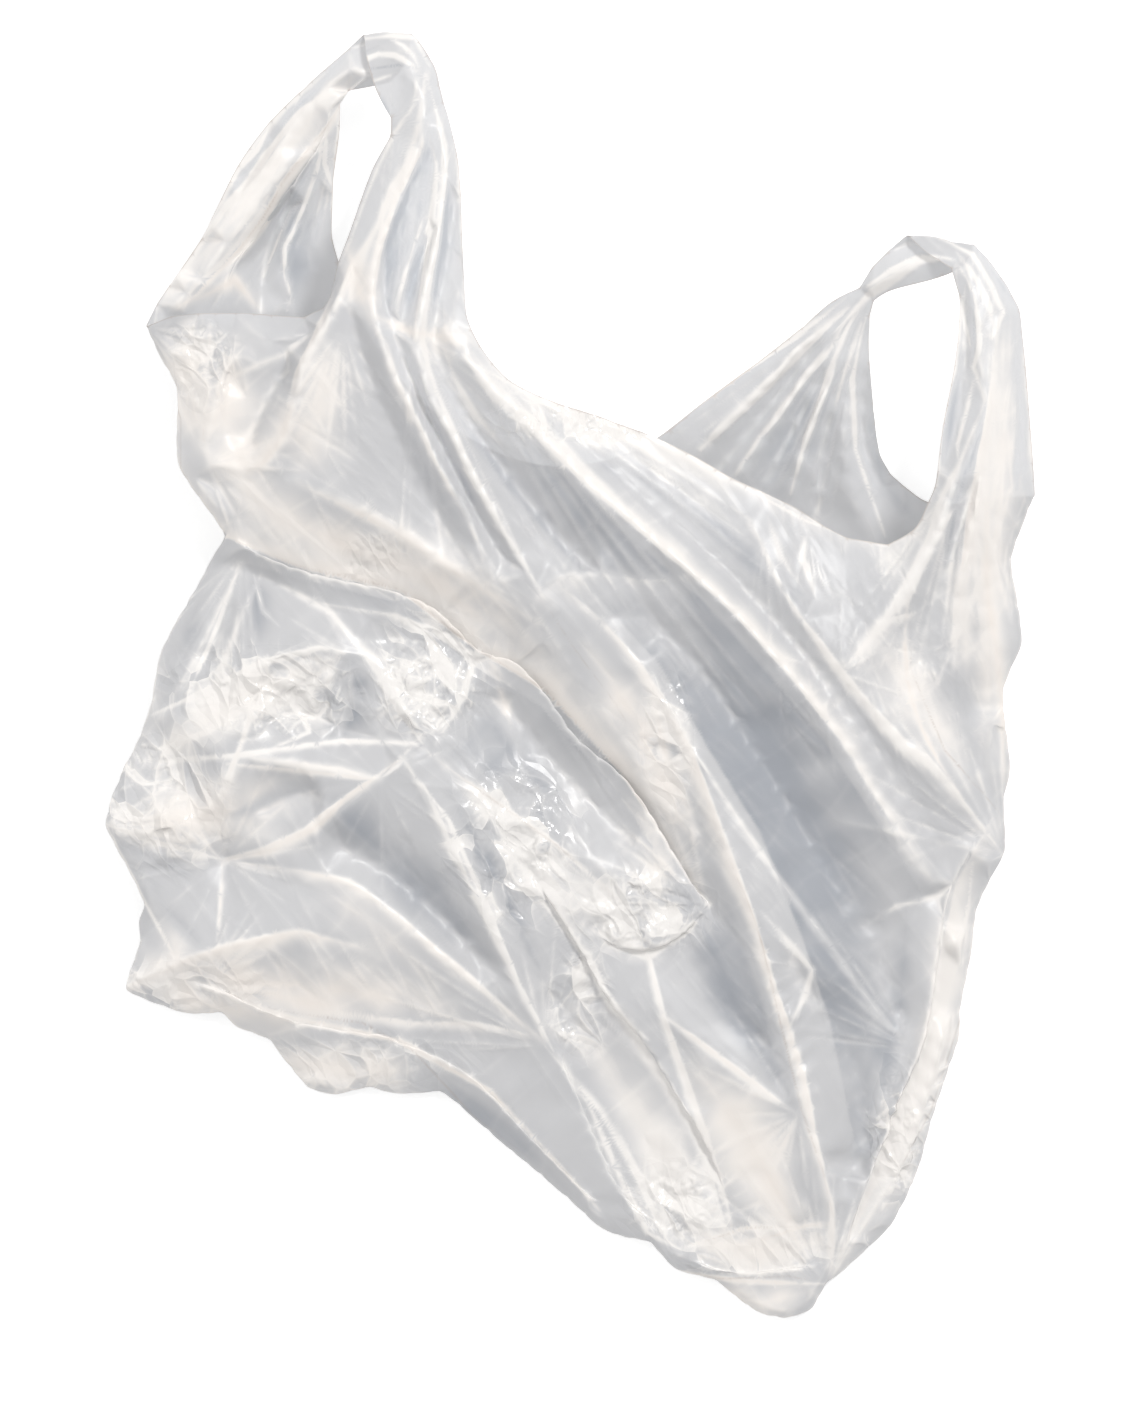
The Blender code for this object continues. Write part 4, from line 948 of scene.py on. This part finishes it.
# Crumpled patches of the film
PATCHES: tuple[Patch, ...] = (
    Patch((205, 368), (28, 44), 50, 0.6),
    Patch((270, 690), (96, 40), 70, 0.8),
    Patch((430, 676), (52, 54), 70, 0.8),
    Patch((515, 845), (56, 74), 70, 0.7),
    Patch((640, 912), (66, 36), 60, 0.8),
    Patch((672, 1200), (44, 36), 50, 0.8),
    Patch((893, 1130), (22, 62), 50, 0.7),
    Patch((165, 800), (54, 60), 50, 0.8),
    Patch((372, 558), (30, 20), 40, 0.5),
    Patch((668, 740), (22, 62), 45, 0.7),
    Patch((590, 425), (96, 18), 50, 0.8),
    Patch((350, 1065), (100, 26), 50, 0.45),
    Patch((185, 985), (66, 24), 40, 0.6),
    Patch((750, 1248), (74, 26), 50, 0.45),
    Patch((580, 1000), (26, 50), 40, 0.9),
)

# Fine wrinkles along the pull of the front panel, which runs from the left handle to the lower right
PULLS: tuple[Patch, ...] = (
    Patch((700, 720), (260, 330), 170, 0.32, 190.0, 7.0, 50.0, 22.0),
    Patch((390, 500), (150, 130), 60, 0.35, 130.0, 6.0, 48.0, 40.0),
    Patch((430, 900), (190, 140), 45, 0.30, 120.0, 6.0, 50.0, 40.0),
    Patch((880, 620), (120, 170), 70, 0.35, 130.0, 6.0, 70.0, 40.0),
    Patch((420, 200), (40, 130), 40, 0.45, 120.0, 5.0, 100.0, 20.0),
    Patch((245, 200), (80, 130), 30, 0.45, 130.0, 5.0, 122.0, 16.0, Layer.LOWER),
    Patch((800, 420), (90, 90), 14, 0.40, 120.0, 5.0, 125.0, 30.0, Layer.LOWER),
    Patch((985, 390), (34, 130), 40, 0.45, 120.0, 5.0, 95.0, 20.0),
)


class Drawing:
    """Turns the frame's metres into drawing units."""

    def __init__(self, low: Vector, high: Vector) -> None:
        """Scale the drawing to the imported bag.

        Args:
            low: the bag's lowest corner.
            high: its highest corner.
        """
        self.unit = (high.y - low.y) / DRAWING_LENGTH
        self.middle = (low + high) / 2.0

    def places(self, points: np.ndarray) -> tuple[np.ndarray, np.ndarray]:
        """Drawing places of points.

        Args:
            points: positions in metres.

        Returns:
            Across and down.
        """
        across = (points[:, 0] - self.middle.x) / self.unit + DRAWING_MIDDLE[0]
        down = DRAWING_MIDDLE[1] - (points[:, 1] - self.middle.y) / self.unit
        return across, down


@dataclass
class FilmSheet:
    """The bag's film as one open sheet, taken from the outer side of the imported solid."""

    node: str = "carrier_bag"
    slot: str = "film"
    finish: FilmFinish = field(default_factory=FilmFinish)
    seed: int = 7
    weld: float = 0.00002
    rim_edge: float = 0.00078
    soft_angle: float = 12.0
    sharp_angle: float = 34.0
    crease_limit: float = 0.9
    levels: int = 3
    plain_tone: float = 0.0
    wrinkle_scale: float = 0.0005
    crest_highlight: float = 0.50
    painted_bend_highlight: float = 0.35
    # How strongly the strokes and areas, with their painted light and shade, change the tone
    stroke_light: float = 1.15
    area_light: float = 1.35
    warm_light: float = 0.25
    crumple_light: float = 0.1
    grazing_sheen_warmth: float = 0.5
    tone_range: tuple[float, float] = (-1.0, 1.2)
    ease_rounds: int = 6
    relax_rounds: int = 70
    resting_below: float = 0.0012
    resting_share: float = 0.15
    floor_gap: float = 0.0001

    def build(self) -> list[bpy.types.Object]:
        """Make the sheet, wrinkle it, and dress it.

        Returns:
            The film, in a few pieces that share their edges and shading.
        """
        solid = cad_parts[self.node]
        drawing = Drawing(*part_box(self.node))
        whole = self.refined(self.outer_side(solid))
        form = self.wrinkled(whole, drawing)
        material = self.finish.material()
        pieces = []
        for name, chosen in self.groups(form).items():
            piece = form.piece(name, chosen)
            piece.data.materials.append(material)
            bpy.context.scene.collection.objects.link(piece)
            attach(piece, "root")
            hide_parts(self.node)
            log.info("%s: %d faces", name, len(chosen))
            pieces.append(piece)
        bpy.data.meshes.remove(whole)
        return pieces

    def groups(self, form: "FilmForm") -> dict[str, np.ndarray]:
        """Sort the film's faces into pieces of a handy size.

        Args:
            form: the whole film.

        Returns:
            The faces of each piece.
        """
        middle = form.points[form.faces].mean(axis=1)
        upper = form.normals[form.faces][:, :, 2].mean(axis=1) > 0.0
        slant = middle[:, 0] + middle[:, 1]
        first, second = np.quantile(slant[upper], (0.34, 0.67))
        return {
            "film_underside": np.flatnonzero(~upper),
            "film_lower_left": np.flatnonzero(upper & (slant <= first)),
            "film_middle": np.flatnonzero(upper & (slant > first) & (slant <= second)),
            "film_upper_right": np.flatnonzero(upper & (slant > second)),
        }

    def outer_side(self, solid: bpy.types.Object) -> bpy.types.Mesh:
        """Take the outer side of the solid film, without its narrow rim.

        Args:
            solid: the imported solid.

        Returns:
            The open sheet.
        """
        sheet = bmesh.new()
        sheet.from_mesh(solid.data)
        bmesh.ops.remove_doubles(sheet, verts=sheet.verts, dist=self.weld)
        rim = [face for face in sheet.faces if min(edge.calc_length() for edge in face.edges) < self.rim_edge]
        bmesh.ops.delete(sheet, geom=rim, context="FACES")
        parts = self.islands(sheet)
        log.info("sides of the solid: %s faces", [len(part) for part in parts[:6]])
        lowest = min(parts[:2], key=lambda part: min(corner.co.z for face in part for corner in face.verts))
        kept = set(lowest)
        bmesh.ops.delete(sheet, geom=[face for face in sheet.faces if face not in kept], context="FACES")
        creases = sheet.edges.layers.float.new("crease_edge")
        for edge in sheet.edges:
            if len(edge.link_faces) == 2:
                bend = math.degrees(edge.calc_face_angle(0.0))
                share = (bend - self.soft_angle) / (self.sharp_angle - self.soft_angle)
                edge[creases] = self.crease_limit * max(0.0, min(1.0, share))
        mesh = bpy.data.meshes.new("film")
        sheet.to_mesh(mesh)
        sheet.free()
        return mesh

    @staticmethod
    def islands(sheet: bmesh.types.BMesh) -> list[list[bmesh.types.BMFace]]:
        """Groups of joined faces, the largest first.

        Args:
            sheet: the faces.

        Returns:
            The groups.
        """
        left = set(sheet.faces)
        groups = []
        while left:
            first = left.pop()
            group = [first]
            queue = [first]
            while queue:
                face = queue.pop()
                for edge in face.edges:
                    for other in edge.link_faces:
                        if other in left:
                            left.remove(other)
                            group.append(other)
                            queue.append(other)
            groups.append(group)
        return sorted(groups, key=len, reverse=True)

    def refined(self, cage: bpy.types.Mesh) -> bpy.types.Mesh:
        """Subdivide the sheet and apply it.

        Args:
            cage: the coarse sheet.

        Returns:
            The fine sheet.
        """
        holder = bpy.data.objects.new("film_cage", cage)
        bpy.context.scene.collection.objects.link(holder)
        finer = holder.modifiers.new("finer", "SUBSURF")
        finer.levels = self.levels
        finer.render_levels = self.levels
        graph = bpy.context.evaluated_depsgraph_get()
        mesh = bpy.data.meshes.new_from_object(holder.evaluated_get(graph))
        bpy.data.objects.remove(holder)
        return mesh

    def wrinkled(self, mesh: bpy.types.Mesh, drawing: Drawing) -> "FilmForm":
        """Raise the film's wrinkles, find where it is creased, crumpled and layered, and paint light and
        shade into its tone.

        Args:
            mesh: the fine sheet.
            drawing: gives drawing places.

        Returns:
            The film's form.
        """
        form = FilmForm.read(mesh)
        across, down = drawing.places(form.points)
        form.relax(mesh, np.ones(len(across)), self.ease_rounds)
        form.relax(mesh, np.max([patch.amount(across, down) for patch in RELAXED], axis=0), self.relax_rounds)
        form = FilmForm.read(mesh)
        points, facing = form.points, form.normals[:, 2].copy()
        across, down = drawing.places(points)
        generator = np.random.default_rng(self.seed)
        raised, lines = np.zeros(len(points)), np.zeros(len(points))
        for source in (*FANS, *PATCHES, *PULLS):
            for wrinkle in source.wrinkles(generator):
                self.raise_wrinkle(raised, lines, wrinkle, across, down, facing)
        raised *= np.where(points[:, 2] < self.resting_below, self.resting_share, 1.0)
        moved = points + form.normals * (raised * self.wrinkle_scale)[:, None]
        moved[:, 2] = np.maximum(moved[:, 2], self.floor_gap)
        mesh.vertices.foreach_set("co", moved.ravel())
        mesh.update()
        form = FilmForm.read(mesh)
        crumple = np.zeros(len(points))
        for patch in PATCHES:
            crumple = np.maximum(crumple, patch.amount(across, down) * (facing * patch.layer.value > 0))
        warmth = np.zeros(len(points))
        area, warmth = self.strokes(AREAS, across, down, facing, warmth)
        stroke, warmth = self.strokes(BANDS, across, down, facing, warmth)
        edges, _ = self.strokes(EDGE_LINES, across, down, facing, warmth)
        bend = form.bending(mesh)
        between = np.clip(1.0 - np.abs(stroke), 0.0, 1.0)
        # The tone holds the film's layering and painted light and shade together
        tone = self.plain_tone + stroke * self.stroke_light + area * self.area_light * between
        # Bent film is painted paler along its ridges and hollows, a painted highlight, and the wrinkle crests
        # get their painted highlight here too
        tone += np.abs(bend) * self.painted_bend_highlight + lines * self.crest_highlight
        # Crumpled patches are painted paler, standing in for their glints
        tone += warmth * self.warm_light + crumple * self.crumple_light
        form.values = {
            "crumple": crumple,
            # Steep faces are painted warmer, a painted sheen of film seen edge-on
            "warmth": np.clip(warmth + (1.0 - np.abs(facing)) ** 3 * self.grazing_sheen_warmth, 0.0, 1.0),
            "tone": np.clip(tone, *self.tone_range),
            "rim": np.maximum(form.open_edge(mesh), edges),
        }
        return form

    @staticmethod
    def strokes(
        bands: tuple[Band, ...], across: np.ndarray, down: np.ndarray, facing: np.ndarray, warmth: np.ndarray
    ) -> tuple[np.ndarray, np.ndarray]:
        """Lay strokes over the film.

        Args:
            bands: the strokes.
            across: places across the drawing.
            down: places down the drawing.
            facing: how far each normal points up.
            warmth: how warm the film is so far.

        Returns:
            The tone that the strokes add, and the new warmth.
        """
        light, shade = np.zeros(len(across)), np.zeros(len(across))
        for band in bands:
            amount = band.amount(across, down) * (facing * band.layer.value > 0)
            light = np.maximum(light, amount * band.tone)
            shade = np.maximum(shade, -amount * band.tone)
            warmth = np.maximum(warmth, amount * band.warmth)
        return light - shade * (1.0 - np.clip(light, 0.0, 1.0) * HIDING), warmth

    @staticmethod
    def raise_wrinkle(
        raised: np.ndarray,
        lines: np.ndarray,
        wrinkle: Wrinkle,
        across: np.ndarray,
        down: np.ndarray,
        upward: np.ndarray,
    ) -> None:
        """Add one wrinkle's height, and the thin painted highlight along its crest, to the points near it.

        Args:
            raised: heights so far, in millimetres.
            lines: painted crest highlights so far.
            wrinkle: the wrinkle.
            across: places across the drawing.
            down: places down the drawing.
            upward: how far each normal points up.
        """
        start, end = np.array(wrinkle.start), np.array(wrinkle.end)
        run = end - start
        length = float(np.hypot(*run))
        if length < 1.0:
            return
        run /= length
        reach = wrinkle.width + 1.0
        low = np.minimum(start, end) - reach
        high = np.maximum(start, end) + reach
        near = np.flatnonzero(
            (across > low[0]) & (across < high[0]) & (down > low[1]) & (down < high[1])
            & (upward * wrinkle.layer.value > 0.0)
        )
        along = ((across[near] - start[0]) * run[0] + (down[near] - start[1]) * run[1]) / length
        aside = np.abs((across[near] - start[0]) * run[1] - (down[near] - start[1]) * run[0])
        taper = np.clip(4.0 * along * (1.0 - along), 0.0, 1.0) ** 0.7
        width = wrinkle.width * (WRINKLE_END_WIDTH + (1.0 - WRINKLE_END_WIDTH) * taper)
        profile = np.clip(1.0 - aside / width, 0.0, 1.0) ** 1.7
        raised[near] += wrinkle.height * taper * profile
        # A thin painted highlight along the wrinkle's crest
        thin = np.clip(1.0 - aside / (2.0 + wrinkle.width * 0.25), 0.0, 1.0)
        lines[near] = np.maximum(lines[near], min(abs(wrinkle.height), 1.0) * wrinkle.light * taper * thin)


@dataclass
class FilmForm:
    """The film's points, normals and faces, and the values stored on its points."""

    points: np.ndarray
    normals: np.ndarray
    faces: np.ndarray
    values: dict[str, np.ndarray] = field(default_factory=dict)

    @classmethod
    def read(cls, mesh: bpy.types.Mesh) -> "FilmForm":
        """Read a mesh of four-sided faces.

        Args:
            mesh: the mesh.

        Returns:
            Its form.
        """
        points, normals = np.empty(len(mesh.vertices) * 3), np.empty(len(mesh.vertices) * 3)
        corners = np.empty(len(mesh.loops), dtype=np.int64)
        mesh.vertices.foreach_get("co", points)
        mesh.vertices.foreach_get("normal", normals)
        mesh.loops.foreach_get("vertex_index", corners)
        return cls(points.reshape(-1, 3), normals.reshape(-1, 3), corners.reshape(-1, 4))

    def piece(self, name: str, chosen: np.ndarray) -> bpy.types.Object:
        """Make one object from some of the faces, shaded as the whole film is.

        Args:
            name: the object's name.
            chosen: the faces.

        Returns:
            The object.
        """
        used, corners = np.unique(self.faces[chosen], return_inverse=True)
        mesh = bpy.data.meshes.new(name)
        mesh.vertices.add(len(used))
        mesh.loops.add(len(chosen) * 4)
        mesh.polygons.add(len(chosen))
        mesh.vertices.foreach_set("co", self.points[used].ravel())
        mesh.loops.foreach_set("vertex_index", corners.ravel().astype(np.int32))
        mesh.polygons.foreach_set("loop_start", np.arange(len(chosen), dtype=np.int32) * 4)
        mesh.update(calc_edges=True)
        mesh.polygons.foreach_set("use_smooth", [True] * len(chosen))
        for key, amounts in self.values.items():
            layer = mesh.attributes.new(key, "FLOAT", "POINT")
            layer.data.foreach_set("value", amounts[used].astype(np.float32))
        mesh.normals_split_custom_set_from_vertices(self.normals[used])
        return bpy.data.objects.new(name, mesh)

    def relax(self, mesh: bpy.types.Mesh, weight: np.ndarray, rounds: int) -> None:
        """Ease the film's bends by moving points towards their neighbours.

        Args:
            mesh: the whole film, which is changed.
            weight: how far each point moves, 0 to 1.
            rounds: how often.
        """
        edges = self.edge_ends(mesh)
        weight = np.clip(weight, 0.0, 1.0) * (1.0 - self.open_edge(mesh)) * 0.5
        edges = edges[(weight[edges] > 0.0).any(axis=1)]
        moving, local = np.unique(edges, return_inverse=True)
        local = local.reshape(-1, 2)
        places, share = self.points[moving], weight[moving][:, None]
        number = np.maximum(sum(np.bincount(local[:, side], minlength=len(moving)) for side in (0, 1)), 1.0)
        for _ in range(rounds):
            total = np.stack([
                np.bincount(local[:, 0], places[local[:, 1], axis], len(moving))
                + np.bincount(local[:, 1], places[local[:, 0], axis], len(moving))
                for axis in range(3)
            ], axis=1)
            places = places + (total / number[:, None] - places) * share
        self.points[moving] = places
        mesh.vertices.foreach_set("co", self.points.ravel())
        mesh.update()

    def bending(self, mesh: bpy.types.Mesh) -> np.ndarray:
        """How sharply the film is bent at each point.

        Args:
            mesh: the whole film.

        Returns:
            1 on a sharp ridge, 0 where it is flat and -1 in a sharp hollow.
        """
        edges = self.edge_ends(mesh)
        span = self.points[edges[:, 1]] - self.points[edges[:, 0]]
        length = np.linalg.norm(span, axis=1) + 1e-9
        turn = ((self.normals[edges[:, 1]] - self.normals[edges[:, 0]]) * span).sum(axis=1) / length ** 2
        total = sum(np.bincount(edges[:, side], turn, len(self.points)) for side in (0, 1))
        number = sum(np.bincount(edges[:, side], minlength=len(self.points)) for side in (0, 1))
        return np.clip(total / np.maximum(number, 1.0) / SHARP_BEND, -1.0, 1.0)

    @classmethod
    def open_edge(cls, mesh: bpy.types.Mesh) -> np.ndarray:
        """Which points lie on the film's free edge.

        Args:
            mesh: the whole film.

        Returns:
            1 on the edge and 0 inside.
        """
        corners = np.empty(len(mesh.loops), dtype=np.int64)
        mesh.loops.foreach_get("edge_index", corners)
        uses = np.bincount(corners, minlength=len(mesh.edges))
        free = np.zeros(len(mesh.vertices))
        free[cls.edge_ends(mesh)[uses == 1].ravel()] = 1.0
        return free

    @staticmethod
    def edge_ends(mesh: bpy.types.Mesh) -> np.ndarray:
        """The two points of each edge.

        Args:
            mesh: the whole film.

        Returns:
            Their numbers, two in each row.
        """
        edges = np.empty(len(mesh.edges) * 2, dtype=np.int64)
        mesh.edges.foreach_get("vertices", edges)
        return edges.reshape(-1, 2)


@dataclass(frozen=True)
class Lamp:
    """One far, soft lamp. Angles are in degrees, and the strength is in watts per square metre."""

    name: str
    turn: float
    rise: float
    strength: float
    softness: float
    tint: Colour
    distance: float = 2.0

    def add(self) -> None:
        """Hang the lamp so that it shines at the middle of the table."""
        data = bpy.data.lights.new(self.name, "SUN")
        data.energy = self.strength
        data.angle = math.radians(self.softness)
        data.color = self.tint
        lamp = bpy.data.objects.new(self.name, data)
        turn, rise = math.radians(self.turn), math.radians(self.rise)
        place = Vector((math.cos(turn) * math.cos(rise), math.sin(turn) * math.cos(rise), math.sin(rise)))
        lamp.rotation_euler = (-place).to_track_quat("-Z", "Y").to_euler()
        lamp.location = place * self.distance
        bpy.context.scene.collection.objects.link(lamp)


@dataclass
class Studio:
    """The white table, the lamps and the camera above the bag."""

    lamps: tuple[Lamp, ...] = (
        Lamp("key", 50.0, 52.0, 1.6, 12.0, (1.0, 0.99, 0.97)),
        Lamp("fill", 170.0, 45.0, 0.55, 50.0, (1.0, 0.985, 0.96)),
    )
    camera_height: float = 5.0
    camera_reach: float = 100.0
    view_length: float = 1402.0
    view_middle: Place = (561.0, 701.0)
    sensor: float = 36.0
    table_size: float = 60.0
    table_gap: float = 0.0004
    world_strength: float = 0.50

    def build(self, drawing: Drawing) -> None:
        """Set up the table, lamps, world and camera.

        Args:
            drawing: gives the size of the photographed view.
        """
        self.table()
        for lamp in self.lamps:
            lamp.add()
        self.world()
        self.camera(drawing)

    def table(self) -> None:
        """Add the table top."""
        half = self.table_size / 2.0
        mesh = bpy.data.meshes.new("table_top")
        corners = [(-half, -half, 0), (half, -half, 0), (half, half, 0), (-half, half, 0)]
        mesh.from_pydata(corners, [], [(0, 1, 2, 3)])
        top = bpy.data.objects.new("table_top", mesh)
        top.location.z = -self.table_gap
        mesh.materials.append(TableFinish().material())
        bpy.context.scene.collection.objects.link(top)

    def world(self) -> None:
        """Set the plain white surroundings, which the camera sees as white."""
        maker = NodeMaker(bpy.data.worlds.new("surroundings"))
        seen = maker.add("ShaderNodeLightPath", output="Is Camera Ray")
        strength = seen * (1.0 - self.world_strength) + self.world_strength
        inputs = {"Color": (1.0, 1.0, 1.0, 1.0), "Strength": strength}
        background = maker.add("ShaderNodeBackground", {}, inputs)
        bpy.context.scene.world = maker.finish(background, "ShaderNodeOutputWorld")

    def camera(self, drawing: Drawing) -> None:
        """Hang the camera straight above the bag.

        Args:
            drawing: gives the view's size.
        """
        data = bpy.data.cameras.new("camera")
        data.sensor_width = self.sensor
        data.lens = self.sensor * self.camera_height / (self.view_length * drawing.unit)
        data.clip_end = self.camera_reach
        camera = bpy.data.objects.new("camera", data)
        shift_across = (self.view_middle[0] - DRAWING_MIDDLE[0]) * drawing.unit
        shift_down = (self.view_middle[1] - DRAWING_MIDDLE[1]) * drawing.unit
        camera.location = (drawing.middle.x + shift_across, drawing.middle.y - shift_down, self.camera_height)
        bpy.context.scene.collection.objects.link(camera)
        bpy.context.scene.camera = camera


def main() -> None:
    """Dress the bag and set up the studio."""
    logging.basicConfig(level=logging.INFO, format="%(message)s")
    bpy.context.scene.view_settings.view_transform = "Standard"
    FilmSheet().build()
    Studio().build(Drawing(*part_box("carrier_bag")))


if __name__ == "__main__":
    main()
